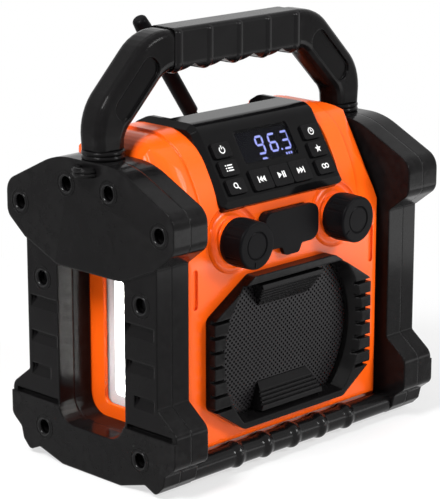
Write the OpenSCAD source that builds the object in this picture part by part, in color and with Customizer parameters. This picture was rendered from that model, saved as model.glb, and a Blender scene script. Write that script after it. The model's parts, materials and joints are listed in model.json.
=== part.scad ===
// Jobsite radio with a work lamp.
// An orange body stands between two black side guards, under a square-shouldered carrying handle.
// Millimetres. X runs to the right, Y to the back and Z up. The origin is on the ground under the middle.

/* [Body] */
// Width of the body, between the two side guards
body_w = 192; // [184:1:204]
// Distance from the middle to the front wall of the body
body_front = 55; // [53:0.5:58]
// Distance from the middle to the back wall of the body
body_back = 46; // [44:0.5:52]
// Height of the underside of the body above the ground
body_bottom = 14; // [12:0.5:15]
// Height of the top of the body above the ground
body_top = 219.5; // [216:0.5:222]
// Wall of the two body shells
wall = 3; // [2.5:0.25:3.5]
// Thickness of the front wall that carries the loudspeaker and the knobs
front_wall = 5.5; // [5:0.25:6.5]
// Place of the seam between the front and the rear shell
seam_y = 35; // [34.5:0.25:35.5]

/* [Side guards] */
// Thickness of a guard, from the body to its outer face
guard_t = 29; // [26:0.5:34]
// Distance from the middle to the front of a guard
guard_reach = 78; // [76:0.5:82]
// Height of the top of a guard
guard_top = 208; // [205:0.5:210]
// Distance from the middle to the front of a guard's post
post_reach = 61; // [58:0.5:64]
// Width of the window through a guard
window_w = 63; // [58:0.5:66]
// Height of the bottom of the window
window_bottom = 29.6; // [28:0.2:32]
// Height of the top of the window
window_top = 136; // [132:0.5:138]
// How far the shoulder and the base of a guard stand proud of its posts
guard_step = 1.5; // [1:0.1:2.5]
// Width of a screw recess in a guard
screw_recess_d = 10; // [9:0.2:11]
// Depth of a screw recess in a guard
screw_recess_depth = 9; // [7:0.5:10]

/* [Handle] */
// Height of the top of the grip
grip_top = 285.2; // [280:0.2:292]
// Height of the grip from its top to the crest of a finger ridge
grip_h = 29; // [26:0.5:31]
// Depth of the grip from front to back
grip_d = 23.6; // [22:0.2:26]
// Length of the rubber grip
grip_len = 115; // [110:1:124]
// Thickness of the handle arm above the guard
arm_w = 24; // [22:0.5:25]
// Depth of the handle arm from front to back
arm_d = 21; // [20:0.2:23]
// Diameter of the steel tube through the grip
handle_tube_d = 12; // [10:0.5:14]

/* [Control panel] */
// Lean of the control panel back from upright, in degrees
panel_tilt = 32; // [31:0.25:33]
// Height where the panel meets the front plane of the body
panel_z = 176; // [175:0.25:177]
// Width of the panel across its outer edges
panel_w = 115; // [113:0.5:118]
// How far the top of the panel stands above the body
panel_rise = 5; // [4.5:0.25:5.5]
// Thickness of the panel moulding
panel_t = 9; // [8.75:0.25:9.5]
// Thickness of the panel's face over its keys
panel_face_t = 2.5; // [2.2:0.1:2.8]
// Width of the bevel around the panel
panel_bevel = 4.2; // [3.6:0.1:4.8]
// Width of the display window
display_w = 50; // [48:0.5:52]
// Height of the display window
display_h = 23.6; // [22:0.2:24.4]
// Width of a small key
key_w = 15.6; // [14.6:0.2:16]
// Height of a small key
key_h = 10.4; // [9.6:0.2:11]
// Width of a large key
large_key_w = 17.6; // [16.8:0.2:17.8]
// Height of a large key
large_key_h = 14.4; // [13:0.2:14.8]
// How far a key stands above the panel
key_rise = 1.8; // [1.4:0.1:2.2]
// Travel of a key
key_travel = 1.2; // [0.8:0.1:1.3]

/* [Knobs] */
// Diameter of a knob
knob_d = 32; // [29:0.5:33]
// Height of the knob axes above the ground
knob_z = 153; // [152:0.25:154]
// Distance of each knob axis from the middle
knob_x = 48.3; // [47:0.1:49.5]
// Distance from the middle of the radio to the face of a knob
knob_face = 74.7; // [72:0.1:77]
// Diameter of a knob's shaft
shaft_d = 6; // [5:0.25:6.5]

/* [Loudspeaker] */
// Height of the middle of the loudspeaker
speaker_z = 78; // [77.5:0.25:78.5]
// Diameter of the round opening in the grille frame
grille_bore = 124; // [120:0.5:126]
// Height of the opening in the grille frame
grille_open_h = 86; // [82:0.5:88]
// Width of the grille frame
grille_w = 150; // [148:0.5:154]
// Height of the grille frame
grille_h = 100; // [98:0.5:102]
// Distance from the middle to the front of the grille frame
grille_front = 63.7; // [62:0.1:66]
// Diameter of the loudspeaker's frame
speaker_d = 112; // [108:0.5:114]

/* [Socket cover] */
// Width of the rubber socket cover
cover_w = 50.6; // [48:0.2:52]
// Height of the rubber socket cover
cover_h = 24.7; // [24:0.1:26]
// Height of the middle of the socket cover
cover_z = 154.6; // [154.2:0.1:155]
// Thickness of the socket cover
cover_t = 3.2; // [2.6:0.1:3.6]

/* [Lamp] */
// Width of the lamp's clear window
lamp_w = 38; // [34:0.5:42]
// Height of the bottom of the lamp's clear window
lamp_bottom = 38; // [36:0.5:42]
// Height of the top of the lamp's clear window
lamp_top = 130; // [124:0.5:131]
// Depth of the lamp's face behind the body side
lamp_sink = 1; // [0.6:0.1:1.8]

/* [Bars and feet] */
// Diameter of the bars along the front and the back
bar_d = 15; // [13:0.25:16]
// Height of the middle of each bar
bar_z = 11; // [10.8:0.1:12]
// How far the middle of the front bar stands in front of the body
bar_out = 3.5; // [3.2:0.1:5]
// Length of a rubber foot pad from front to back
pad_len = 18; // [14:0.5:20]

/* [Aerial] */
// Length of the aerial from its pivot to its tip
aerial_len = 100; // [94:0.5:104]
// Diameter of the aerial
aerial_d = 11; // [10:0.2:11.6]
// Lean of the aerial to the left of upright, in degrees
aerial_lean = 34.7; // [30:0.1:40]
// Height of the aerial's pivot
aerial_z = 199.5; // [198.8:0.1:200.2]

/* [Battery door] */
// Width of the battery door
door_w = 100; // [94:0.5:104]
// Height of the battery door
door_h = 62; // [60:0.5:66]
// Height of the bottom of the battery door
door_z = 40; // [38:0.5:42]

/* [Hidden] */
$fn = 48;
arc_steps = 8;

// Clearances
gap = 0.3;      // between bodies that move past each other
snug = 0.05;    // all round a shaft or pin that turns in a bore
seat_gap = 0.1; // all round a piece that sits in a recess

ORANGE = "orangered";
BLACK = [0.11, 0.11, 0.12];
RUBBER = [0.07, 0.07, 0.075];

// Levels across the width
guard_in = body_w/2;
guard_out = guard_in + guard_t;
guard_mid = guard_in + guard_t/2;

// ---------------------------------------------------------------- helpers

function unit(v) = v/norm(v);

// Points of an outline whose corners [x, y, radius] are rounded
function rounded(corners, steps = arc_steps) = [for (i = [0:len(corners) - 1])
    let(before = corners[(i + len(corners) - 1) % len(corners)],
        here = corners[i],
        after = corners[(i + 1) % len(corners)],
        at = [here.x, here.y],
        u = unit([before.x, before.y] - at),
        v = unit([after.x, after.y] - at),
        half = acos(u*v)/2,
        r = here.z)
    each r <= 0 ? [at] :
        let(centre = at + unit(u + v)*r/sin(half),
            from = at + u*r/tan(half) - centre,
            to = at + v*r/tan(half) - centre,
            a = atan2(from.y, from.x),
            turn = atan2(to.y, to.x) - a,
            short = turn > 180 ? turn - 360 : turn < -180 ? turn + 360 : turn)
        [for (k = [0:steps]) centre + r*[cos(a + short*k/steps), sin(a + short*k/steps)]]];

// Corners of a rectangle about a centre, with one radius
function box_corners(w, h, r, x = 0, y = 0) =
    [[x + w/2, y + h/2, r], [x - w/2, y + h/2, r], [x - w/2, y - h/2, r], [x + w/2, y - h/2, r]];

module plate(w, h, r, t) linear_extrude(t) polygon(rounded(box_corners(w, h, r)));

// An outline drawn in Y and Z, extruded along X
module along_x(x0, x1) translate([x0, 0, 0]) rotate([90, 0, 90]) linear_extrude(x1 - x0) children();

// An outline drawn in X and Z, extruded along Y
module along_y(y0, y1) translate([0, y1, 0]) rotate([90, 0, 0]) linear_extrude(y1 - y0) children();

// A cylinder along X, and one along Y
module rod_x(d, x0, x1) translate([x0, 0, 0]) rotate([0, 90, 0]) cylinder(d = d, h = x1 - x0);
module rod_y(d, y0, y1) translate([0, y1, 0]) rotate([90, 0, 0]) cylinder(d = d, h = y1 - y0);

// A frame on a leaning surface, at a point [y, z]: X across, Y up the surface, Z out of it
module on_lean(at, lean) translate([0, at.x, at.y]) rotate([90 - lean, 0, 0]) children();

module both_sides() {
    children();
    mirror([1, 0, 0]) children();
}

module front_and_back() {
    children();
    mirror([0, 1, 0]) children();
}

// ---------------------------------------------------------------- body shells

// Side outline of the body: upright front, leaning shoulder, flat top. Its shoulder and top can be raised
body_low_r = 8;
body_back_r = 28;
brow = [25 - body_front, body_top - 8.5];
shoulder = [8.5 - body_front, body_top - 37.5];
shoulder_lean = atan2(brow.x - shoulder.x, brow.y - shoulder.y);
function body_outline(rise = 0) = rounded([
    [-body_front, body_bottom, body_low_r],
    [body_back, body_bottom, body_low_r],
    [body_back, body_top + rise, body_back_r],
    [45 - body_front, body_top + rise, 30],
    [brow.x - 0.8*rise, brow.y + 0.6*rise, 40],
    [shoulder.x - 0.9*rise, shoulder.y + 0.4*rise, 90],
    [-body_front, body_top - 71.5, 90]]);

// Height on a plane parallel to the panel's face, a depth behind it, where it reaches y
function panel_plane_y(z, depth) = -body_front + depth*cos(panel_tilt)
    + (z - panel_z + depth*sin(panel_tilt))*tan(panel_tilt);
function panel_plane_z(y, depth) = panel_z - depth*sin(panel_tilt)
    + (y + body_front - depth*cos(panel_tilt))/tan(panel_tilt);

panel_top = body_top + panel_rise;
pocket_floor = panel_t + wall;
cavity_top = panel_top - pocket_floor;
cavity_front = -body_front + front_wall;

// Deck behind the panel, which slopes down to the back between the panel's cheeks
cheek_w = 7.5;
deck_w = panel_w - 2*cheek_w;
deck_y = 2;
deck_z = panel_top - panel_t;
deck_back_z = guard_top - 1.5;
deck_reach = body_back + 1;
module above_deck(drop, grow) along_x(-deck_w/2 - grow, deck_w/2 + grow)
    polygon([[deck_y, deck_z - drop], [deck_reach, deck_back_z - drop], [deck_reach, body_top + 60],
        [deck_y, body_top + 60]]);

// Soft side edges along the top and the shoulder, drawn a wall's thickness smaller for the inside
side_r = 18;
module side_profile(c) polygon(rounded([[guard_in - c, -c, side_r - c], [c - guard_in, -c, side_r - c],
    [c - guard_in, -body_top, 0], [guard_in - c, -body_top, 0]]));
module side_rounding(c) intersection() {
    translate([0, 0, body_top]) along_y(-body_front - 1, body_back + 1) side_profile(c);
    on_lean(brow, shoulder_lean) rotate([90, 0, 0]) linear_extrude(3*body_top, center = true) side_profile(c);
}

cavity_low_r = 4.5;
module body_cavity() difference() {
    intersection() {
        along_x(wall - guard_in, guard_in - wall) polygon(rounded([
            [cavity_front, body_bottom + wall, cavity_low_r],
            [body_back - wall, body_bottom + wall, cavity_low_r],
            [body_back - wall, cavity_top, body_back_r - 2*wall],
            [panel_plane_y(cavity_top, pocket_floor), cavity_top, 0],
            [cavity_front, panel_plane_z(cavity_front, pocket_floor), 0]]));
        side_rounding(wall);
    }
    above_deck(wall, wall);
}

corner_r = 10;
module body_blank() difference() {
    intersection() {
        along_x(-guard_in, guard_in) polygon(body_outline());
        translate([0, (body_back - body_front)/2, 0])
            plate(body_w, body_front + body_back, corner_r, body_top + 1);
        side_rounding(0);
    }
    above_deck(0, 0);
}

// Broad raised band that runs up the shoulder and over the top, and stops behind the panel
band_w = 146;
band_rise = 1.5;
band_back = 28;
module shoulder_band() difference() {
    intersection() {
        along_x(-band_w/2, band_w/2) polygon(body_outline(band_rise));
        translate([-band_w, -body_front - 5, body_top - 71.5]) cube([2*band_w, body_front + 5 + band_back, 90]);
    }
    above_deck(0, 0);
}

// Everything behind a plane across the body
module behind(y) translate([-body_w, y, -5]) cube([2*body_w, 200, body_top + 50]);

// Posts in the front shell that the shell screws hold in, tied to the nearest wall
rib_w = 4;
module screw_posts() {
    shell_posts(screw_tip - wall, seam_y);
    both_sides() for (z = screw_levels) let(to = z < body_top/2 ? body_bottom + 1 : cavity_top + 1)
        translate([screw_x - rib_w/2, screw_tip - wall, min(z, to)]) cube([rib_w, seam_y - screw_tip + wall, abs(to - z)]);
}

boss_d = 27;
knob_back = body_front + 1;
module knob_bosses() for (side = [-1, 1])
    translate([side*knob_x, 0, knob_z]) rod_y(boss_d, gap - knob_back, cavity_front);

// Soft ring-shaped hollow around each knob, square to the leaning wall
hollow_r = 19.6;
hollow_tube = 4.5;
module knob_hollows() for (side = [-1, 1])
    translate([side*knob_x, 1.4 - body_front, knob_z]) rotate([90 - 9, 0, 0])
        translate([0, 0, hollow_tube - 2.4]) rotate_extrude() translate([hollow_r, 0]) circle(r = hollow_tube, $fn = 32);

// The upright slot beside the panel, low on each side
module side_slots() both_sides()
    along_y(-body_front - 1, 1.6 - body_front) polygon(rounded(box_corners(4, 26, 1.9, guard_in - 12, knob_z - 26)));

bush_d = 9;
speaker_hole = grille_bore - 14;
tray_w = cover_w - 3;
tray_h = cover_h - 2;
module front_shell() color(ORANGE) difference() {
    union() {
        difference() {
            union() {
                body_blank();
                shoulder_band();
            }
            behind(seam_y);
            body_cavity();
            knob_hollows();
            side_slots();
        }
        knob_bosses();
        screw_posts();
    }
    shell_screw_cuts(screw_shank);
    bar_grooves();
    panel_blank(seat_gap);
    panel_window();
    skirt_blank(seat_gap);
    for (side = [-1, 1])
        translate([side*knob_x, 0, knob_z]) rod_y(bush_d + 2*seat_gap, -knob_back - 1, cavity_front + 1);
    along_y(-body_front - 20, cavity_front + 4)
        polygon(rounded(box_corners(tray_w + 2*seat_gap, tray_h + 2*seat_gap, 6 + seat_gap, 0, cover_z)));
    lamp_hole();
}

// ---------------------------------------------------------------- rear shell

screw_x = guard_in - 20;
screw_levels = [body_bottom + 12, body_top - 24];
post_d = 9;
screw_shank = 2.6;
screw_head = 5.4;
screw_grip = 14;
screw_tip = seam_y - screw_grip;
screw_seat_y = body_back - 2.4;
module at_shell_screws() both_sides() for (z = screw_levels) translate([screw_x, 0, z]) children();

module shell_screw_cuts(d) at_shell_screws() rod_y(d + 2*snug, screw_tip - 1, body_back + 1);

module shell_posts(y0, y1) at_shell_screws() rod_y(post_d, y0, y1);

battery_y = 12;
box_wall = 2;
door_t = 2.6;
pack_w = door_w - 8;
pack_h = door_h - 8;
door_mid = door_z + door_h/2;
hinge_r = 2.2;
door_axis_y = body_back - hinge_r;
door_axis_z = door_z + hinge_r;
module at_door() translate([0, 0, door_mid]) children();

board_w = 120;
board_h = 76;
board_t = 1.6;
board_y = 20;
board_z = 152;
board_posts = [for (x = [-1, 1], z = [-1, 1]) [x*(board_w/2 - 6), board_z + z*(board_h/2 - 6)]];

dc_x = 72;
dc_z = 62;
dc_d = 9;

vent_pitch = 5;
module rear_vents() for (k = [-4:4])
    along_y(body_back - wall - 1, body_back + 1)
        polygon(rounded(box_corners(60, 2, 0.9, 0, board_z + k*vent_pitch)));

module rear_shell() color(ORANGE) difference() {
    union() {
        difference() {
            intersection() {
                body_blank();
                behind(seam_y);
            }
            body_cavity();
        }
        shell_posts(seam_y, body_back - wall);
        // battery box
        at_door() along_y(battery_y - box_wall, body_back - wall)
            square([pack_w + 2*box_wall + 2*seat_gap, pack_h + 2*box_wall + 2*seat_gap], center = true);
        // rim around the door recess
        at_door() along_y(body_back - wall - 2.5, body_back - wall)
            square([door_w + 4, door_h + 4], center = true);
        for (p = board_posts) translate([p.x, 0, p.y]) rod_y(6, board_y + board_t, body_back - wall);
    }
    at_door() along_y(battery_y, body_back + 1)
        square([pack_w + 2*seat_gap, pack_h + 2*seat_gap], center = true);
    // recess that the door closes into, with room for its hinge barrel
    at_door() along_y(body_back - door_t - seat_gap, body_back + 1)
        square([door_w + 2*gap, door_h + 2*gap], center = true);
    translate([-door_w/2 - gap, body_back - 2*hinge_r - 0.2, door_z - 0.4])
        cube([door_w + 2*gap, 2*hinge_r + 1, 2*hinge_r + 0.6]);
    translate([0, door_axis_y, door_axis_z]) rod_x(pin_d + 2*snug, -door_w/2 - 3, door_w/2 + 3);
    translate([dc_x, 0, dc_z]) rod_y(dc_d + 2*seat_gap, body_back - wall - 1, body_back + 1);
    rear_vents();
    bar_grooves();
    shell_screw_cuts(screw_shank + 0.4);
    at_shell_screws() rod_y(screw_head + 0.6, screw_seat_y, body_back + 1);
}

module shell_screws() color("dimgray") at_shell_screws() {
    rod_y(screw_shank, screw_tip, screw_seat_y);
    difference() {
        rod_y(screw_head, screw_seat_y, screw_seat_y + 2);
        rod_y(1.2, screw_seat_y + 1, body_back);
    }
}

module main_board() color("darkgreen") along_y(board_y, board_y + board_t)
    polygon(rounded(box_corners(board_w, board_h, 2, 0, board_z)));

// ---------------------------------------------------------------- bars and feet

ring_pitch = 26.7;
ring_rise = 1.5;
ring_w = 11;
bar_len = 2*guard_in;
bar_y = body_front + bar_out;
bar_end_d = 5;
bar_end_len = 7;
// Side outline of a bar: a straight rod with five smooth rings
function bar_radius(x) = let(k = min(max(round(x/ring_pitch), -2), 2), off = abs(x - k*ring_pitch))
    bar_d/2 + (off < ring_w/2 ? ring_rise*cos(180*off/ring_w)*cos(180*off/ring_w) : 0);
bar_rings = [for (k = [-2:2], s = [-1:0.2:1]) k*ring_pitch + s*ring_w/2];
module bar() translate([0, -bar_y, bar_z]) rotate([0, 90, 0]) rotate_extrude()
    polygon([[0, -bar_len/2 - bar_end_len], [bar_end_d/2, -bar_len/2 - bar_end_len], [bar_end_d/2, -bar_len/2],
        [bar_d/2, -bar_len/2], for (x = bar_rings) [bar_radius(x), x], [bar_d/2, bar_len/2],
        [bar_end_d/2, bar_len/2], [bar_end_d/2, bar_len/2 + bar_end_len], [0, bar_len/2 + bar_end_len]]);

// Groove that the bars lie in along the foot of the body
module bar_grooves() front_and_back() translate([0, -bar_y, bar_z])
    rod_x(bar_d + 2*ring_rise + 2*gap, -guard_in - 1, guard_in + 1);

module front_bar() color(BLACK) bar();
module rear_bar() color(BLACK) mirror([0, 1, 0]) bar();

// Feet: flat pads set into the underside of the guards
pad_h = 2.2;
pad_side = 4;
pad_y = 25;
module foot_pads(c) both_sides() front_and_back()
    translate([guard_mid, pad_y - pad_len/2, 0]) plate(guard_t - 2*pad_side + 2*c, pad_len + 2*c, 3, pad_h);
module rubber_feet() color(RUBBER) foot_pads(0);

// ---------------------------------------------------------------- side guards

belly_y = 28;
belly_z = 0.6;
shoulder_tip_z = guard_top - 24;
shoulder_low_z = guard_top - 46;
post_top_z = guard_top - 59;
base_tip_z = 45.5;
base_top_z = 58.5;

// Half outline of a guard, from the top to the underside [y, z, radius]
guard_half = [
    [29, guard_top, 55],
    [guard_reach, shoulder_tip_z, 12],
    [guard_reach, shoulder_low_z, 9],
    [post_reach, post_top_z, 2],
    [post_reach, base_top_z, 2],
    [guard_reach, base_tip_z, 8],
    [guard_reach, bar_z + 13, 6],
    // a bump that wraps the end of the bar
    [bar_y + bar_d/2 + 3, bar_z + 6, 3],
    [bar_y + bar_d/2 + 1, bar_z - 2, 2],
    [bar_y + 2, bar_z - bar_d/2 - 1, 4],
    [bar_y - 8, bar_z - bar_d/2 + 3.5, 3],
    [belly_y, belly_z, 8]];
guard_corners = concat(guard_half,
    [for (i = [len(guard_half) - 1:-1:0]) [-guard_half[i].x, guard_half[i].y, guard_half[i].z]]);

window_r = 15;
module guard_section() difference() {
    polygon(rounded(guard_corners));
    polygon(rounded([[window_w/2, window_bottom, window_r], [window_w/2, window_top, 3],
        [-window_w/2, window_top, 3], [-window_w/2, window_bottom, window_r]]));
}

slot_z = 41.9;
slot_h = 3;
slot_depth = 2.5;
slot_lip = 5;
// The shoulder and the base of a guard, which stand proud of its posts
module proud_section() intersection() {
    guard_section();
    union() {
        polygon(rounded([[guard_reach + 9, guard_top + 9, 0], [-guard_reach - 9, guard_top + 9, 0],
            [-guard_reach - 9, shoulder_low_z, 0], [-post_reach, post_top_z, 0], [-30, window_top, 14],
            [30, window_top, 14], [post_reach, post_top_z, 0], [guard_reach + 9, shoulder_low_z, 0]]));
        translate([-guard_reach - 9, -9]) square([2*guard_reach + 18, slot_z - slot_h/2 + 9]);
    }
}

// Guard screw places [y, z]
guard_screw_places = [for (s = [-1, 1]) each
    [[s*(guard_reach - 13), shoulder_tip_z - 12.5], [s*19.7, guard_top - 17.4],
     [s*46.4, window_top - 12.5], [s*45.8, 22]]];
guard_screw_head = 7;
guard_screw_shank = 3.2;
head_h = 3;
screw_seat = guard_out - screw_recess_depth;
guard_screw_end = guard_in + 3;
module at_guard_screws() for (p = guard_screw_places) translate([0, p.x, p.y]) children();

spigot_d = 12;
spigot_depth = 18;
module spigot_bore() translate([guard_mid, 0, guard_top - spigot_depth])
    cylinder(d = spigot_d + 2*snug, h = spigot_depth + 1);

// Slots across each post: a long one at the base, and shorter ones above it with a sloping lip
post_face = guard_out - guard_step;
slot_inner = [33, 40, 33, 32];
slot_rise = [0, 20.5, 43, 67];
module post_slots() front_and_back() for (k = [0:len(slot_inner) - 1])
    let(outer = k == 0 ? guard_reach - 4 : post_reach - 3, z = slot_z + slot_rise[k])
        along_y(slot_inner[k], outer) polygon([[guard_out + 1, z + slot_h/2],
            [post_face - slot_depth, z + slot_h/2], [post_face - slot_depth, z - slot_h/2],
            [k == 0 ? post_face - slot_depth : post_face, z - slot_h/2 - (k == 0 ? 0 : slot_lip)],
            [guard_out + 1, z - slot_h/2 - (k == 0 ? 0 : slot_lip)]]);

module guard_outer() difference() {
    union() {
        along_x(guard_mid, guard_out - guard_step) guard_section();
        along_x(guard_out - guard_step, guard_out) proud_section();
    }
    post_slots();
    at_guard_screws() rod_x(screw_recess_d, screw_seat, guard_out + 1);
    at_guard_screws() rod_x(guard_screw_shank + 0.4, guard_mid - 1, guard_out);
    spigot_bore();
    foot_pads(seat_gap);
}

module guard_inner() difference() {
    along_x(guard_in, guard_mid) guard_section();
    at_guard_screws() rod_x(guard_screw_shank + 2*snug, guard_screw_end - 0.5, guard_mid + 1);
    spigot_bore();
    foot_pads(seat_gap);
    front_and_back() translate([0, bar_y, bar_z]) rod_x(bar_end_d + 2*snug, guard_in - 1, guard_in + bar_end_len + 0.2);
}

module left_guard_outer() color(BLACK) mirror([1, 0, 0]) guard_outer();
module left_guard_inner() color(BLACK) mirror([1, 0, 0]) guard_inner();
module right_guard_outer() color(BLACK) guard_outer();
module right_guard_inner() color(BLACK) guard_inner();

module guard_screws() color("dimgray") both_sides() at_guard_screws() {
    rod_x(guard_screw_shank, guard_screw_end, screw_seat);
    difference() {
        rod_x(guard_screw_head, screw_seat, screw_seat + head_h);
        rod_x(1.6, screw_seat + 1.2, screw_seat + head_h + 1);
    }
}

eyelet_d = 17;
eyelet_h = 6;
module strap_eyelets() color(BLACK) both_sides() difference() {
    translate([guard_out, 0, guard_top - 9]) {
        cylinder(d = eyelet_d, h = eyelet_h);
        translate([0, 0, 1]) cylinder(d = eyelet_d + 1.6, h = 1.6);
        translate([0, 0, 3.4]) cylinder(d = eyelet_d + 1.6, h = 1.6);
    }
    translate([guard_out, 0, guard_top - 9 + eyelet_h - 3.6]) cylinder(d = 8, h = 9);
    translate([0, -50, 0]) cube([guard_out, 100, guard_top + 50]);
}

// ---------------------------------------------------------------- handle

collar_d = 28;
collar_h = 6;
module handle_collars() color(BLACK) both_sides() translate([guard_mid, 0, guard_top])
    rotate_extrude() polygon(rounded([[spigot_d/2 + snug, 0, 0], [collar_d/2, 0, 1.2], [collar_d/2, 2.8, 1.2],
        [collar_d/2 - 1.1, 3, 0], [collar_d/2, 3.2, 1.2], [collar_d/2, collar_h, 1.2], [spigot_d/2 + snug, collar_h, 0]], 4));

arm_base = guard_top + collar_h;
grip_mid = grip_top - grip_h/2;
elbow_x = guard_mid - 39.5;
elbow_z = grip_mid - (guard_mid - elbow_x);
arm_bend = 26;
arm_outer_r = 5.5;
arm_inner_r = 7.5;
// Centre line of an arm in X and Z, from the collar to the grip
arm_line = rounded([[guard_mid, arm_base, 0], [guard_mid, elbow_z, arm_bend], [elbow_x, grip_mid, arm_bend],
    [grip_len/2, grip_mid, 0]], 7);
// Thickness of the arm along its line, from 0 at the collar to 1 at the grip
function arm_thickness(t) = arm_w + (grip_h - 2 - arm_w)*min(1, 1.6*t) + 3*sin(180*t);
function arm_depth(t) = arm_d + (grip_d - arm_d - 1)*t;

// Direction of a line of points at point i
function heading(line, i) = unit(line[min(i + 1, len(line) - 1)] - line[max(i - 1, 0)]);

// A tube whose rings stand square on a line in X and Z
module swept_arm(line) {
    rings = [for (i = [0:len(line) - 1])
        let(t = i/(len(line) - 1), along = heading(line, i), across = [along.y, -along.x],
            w = arm_thickness(t)/2, d = arm_depth(t)/2,
            outline = rounded([[w, d, arm_outer_r], [-w, d, arm_inner_r], [-w, -d, arm_inner_r],
                [w, -d, arm_outer_r]], 4))
        [for (p = outline) [line[i].x + across.x*p.x, p.y, line[i].y + across.y*p.x]]];
    sides = len(rings[0]);
    points = [for (ring = rings) each ring];
    walls = [for (i = [0:len(rings) - 2], k = [0:sides - 1])
        let(a = i*sides + k, b = i*sides + (k + 1) % sides)
        each [[a, b + sides, b], [a, a + sides, b + sides]]];
    first = [[for (k = [0:sides - 1]) k]];
    last = [[for (k = [sides - 1:-1:0]) (len(rings) - 1)*sides + k]];
    polyhedron(points, concat(first, walls, last), convexity = 4);
}

// Long rounded recesses on the front and the back of an arm's leaning part
recess_len = 46;
recess_w = 15;
recess_floor = arm_d/2 - 1.6;
module arm_recess() front_and_back() translate([(guard_mid + elbow_x)/2, 0, (grip_mid + elbow_z)/2])
    rotate([0, -45, 0]) along_y(recess_floor, recess_floor + 9)
        polygon(rounded(box_corners(recess_w, recess_len, recess_w/2 - 1, -0.8, 0)));

tube_reach = grip_len/2 + 14;
module right_arm() difference() {
    union() {
        swept_arm(arm_line);
        translate([guard_mid, 0, guard_top - spigot_depth + 1]) cylinder(d = spigot_d, h = spigot_depth + collar_h + 4);
    }
    translate([0, 0, grip_mid]) rod_x(handle_tube_d + 2*snug, 0, tube_reach + 0.5);
    arm_recess();
}

module right_handle_arm() color(BLACK) right_arm();
module left_handle_arm() color(BLACK) mirror([1, 0, 0]) right_arm();
module handle_tube() color("silver") translate([0, 0, grip_mid]) rod_x(handle_tube_d, -tube_reach, tube_reach);

// Underside of the grip: five rounded lumps between the fingers
groove_depth = 5;
grip_round = 7;
grip_top_r = 3.5;
finger_pitch = 27.3;
grip_step = finger_pitch/12;
grip_steps = floor(grip_len/2/grip_step);
function grip_under(x) = grip_top - grip_h + groove_depth*(1 - abs(cos(180*x/finger_pitch)));
grip_low = [[-grip_len/2, grip_under(grip_len/2)], for (k = [-grip_steps:grip_steps]) [k*grip_step, grip_under(k*grip_step)],
    [grip_len/2, grip_under(grip_len/2)]];
module handle_grip() color(RUBBER) difference() {
    intersection() {
        along_y(-grip_d/2, grip_d/2) polygon(concat(grip_low, [[grip_len/2, grip_top], [-grip_len/2, grip_top]]));
        along_x(-grip_len/2, grip_len/2) polygon(rounded([[grip_d/2, grip_top, grip_top_r],
            [-grip_d/2, grip_top, grip_top_r], [-grip_d/2, grip_top - grip_h, grip_round],
            [grip_d/2, grip_top - grip_h, grip_round]]));
    }
    translate([0, 0, grip_mid]) rod_x(handle_tube_d + 2*snug, -grip_len, grip_len);
}

// ---------------------------------------------------------------- control panel

// Drawn in the panel's own plane: X across, Y up the face, Z out of the face
module on_panel() on_lean([-body_front, panel_z], panel_tilt) children();

panel_low = -0.8;
panel_corner_r = 5;
panel_bend = 13;
cheek_end = 27.6;
cheek_drop = 5;
cheek_slope = 8.4;
face_h = (panel_top - panel_z)/cos(panel_tilt);
panel_corner = [-body_front + face_h*sin(panel_tilt), panel_top];
// Side outline of the panel: a leaning face that bends over the top, and runs back along its two cheeks
function panel_side(c) = let(t = panel_tilt, low = [-body_front, panel_z] + (panel_low - c)*[sin(t), cos(t)],
    inward = [cos(t), -sin(t)])
    rounded([
        [low.x, low.y, 0],
        [panel_corner.x, panel_corner.y, panel_bend],
        [cheek_end - cheek_slope + c, panel_top, 9],
        [cheek_end + c, panel_top - cheek_drop, 3],
        [cheek_end + c, panel_top - panel_t, 0],
        [panel_plane_y(panel_top - panel_t, panel_t), panel_top - panel_t, 0],
        [low.x + inward.x*panel_t, low.y + inward.y*panel_t, 0]]);

module panel_blank(c) intersection() {
    along_x(-panel_w/2 - c, panel_w/2 + c) polygon(panel_side(c));
    // rounded corners, low on the face
    on_panel() translate([0, panel_low - c + 100, -100]) plate(panel_w + 2*c, 200, panel_corner_r + c, 140);
}

// Bevels along the edges of the panel: on its face, on the bend, on its top and along the bottom
bevel_fall = 0.86*panel_bevel;
bevel_run = 3;
module side_bevels(at, lean) on_lean(at, lean) rotate([90, 0, 0]) linear_extrude(400, center = true)
    let(half = panel_w/2 - panel_bevel)
        polygon([[half, 0], [-half, 0], [-half - bevel_run*panel_bevel, -bevel_run*bevel_fall],
            [-half - bevel_run*panel_bevel, -150], [half + bevel_run*panel_bevel, -150],
            [half + bevel_run*panel_bevel, -bevel_run*bevel_fall]]);
bend_lean = (90 + panel_tilt)/2;
bend_drop = panel_bend*(1/cos(bend_lean - panel_tilt) - 1);
module panel_bevels() intersection() {
    side_bevels([-body_front, panel_z], panel_tilt);
    side_bevels(panel_corner + bend_drop*[cos(bend_lean), -sin(bend_lean)], bend_lean);
    side_bevels(panel_corner, 90);
    on_panel() rotate([90, 0, 90]) linear_extrude(2*panel_w, center = true)
        polygon([[300, 0], [panel_low + panel_bevel, 0], [panel_low - panel_bevel, -2*bevel_fall],
            [panel_low - panel_bevel, -150], [300, -150]]);
}

// Hollow behind the panel's face
hollow_w = 104;
hollow_low = 3.2;
hollow_high = 52;
module panel_hollow() on_panel()
    translate([0, (hollow_low + hollow_high)/2, -panel_t - 1])
        plate(hollow_w, hollow_high - hollow_low, 2, panel_t + 1 - panel_face_t);

// Window through the shell behind the panel
module panel_window() on_panel()
    translate([0, (hollow_low + hollow_high)/2, -panel_t - 30])
        plate(hollow_w - 8, hollow_high - hollow_low - 8, 2, 31);

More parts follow.
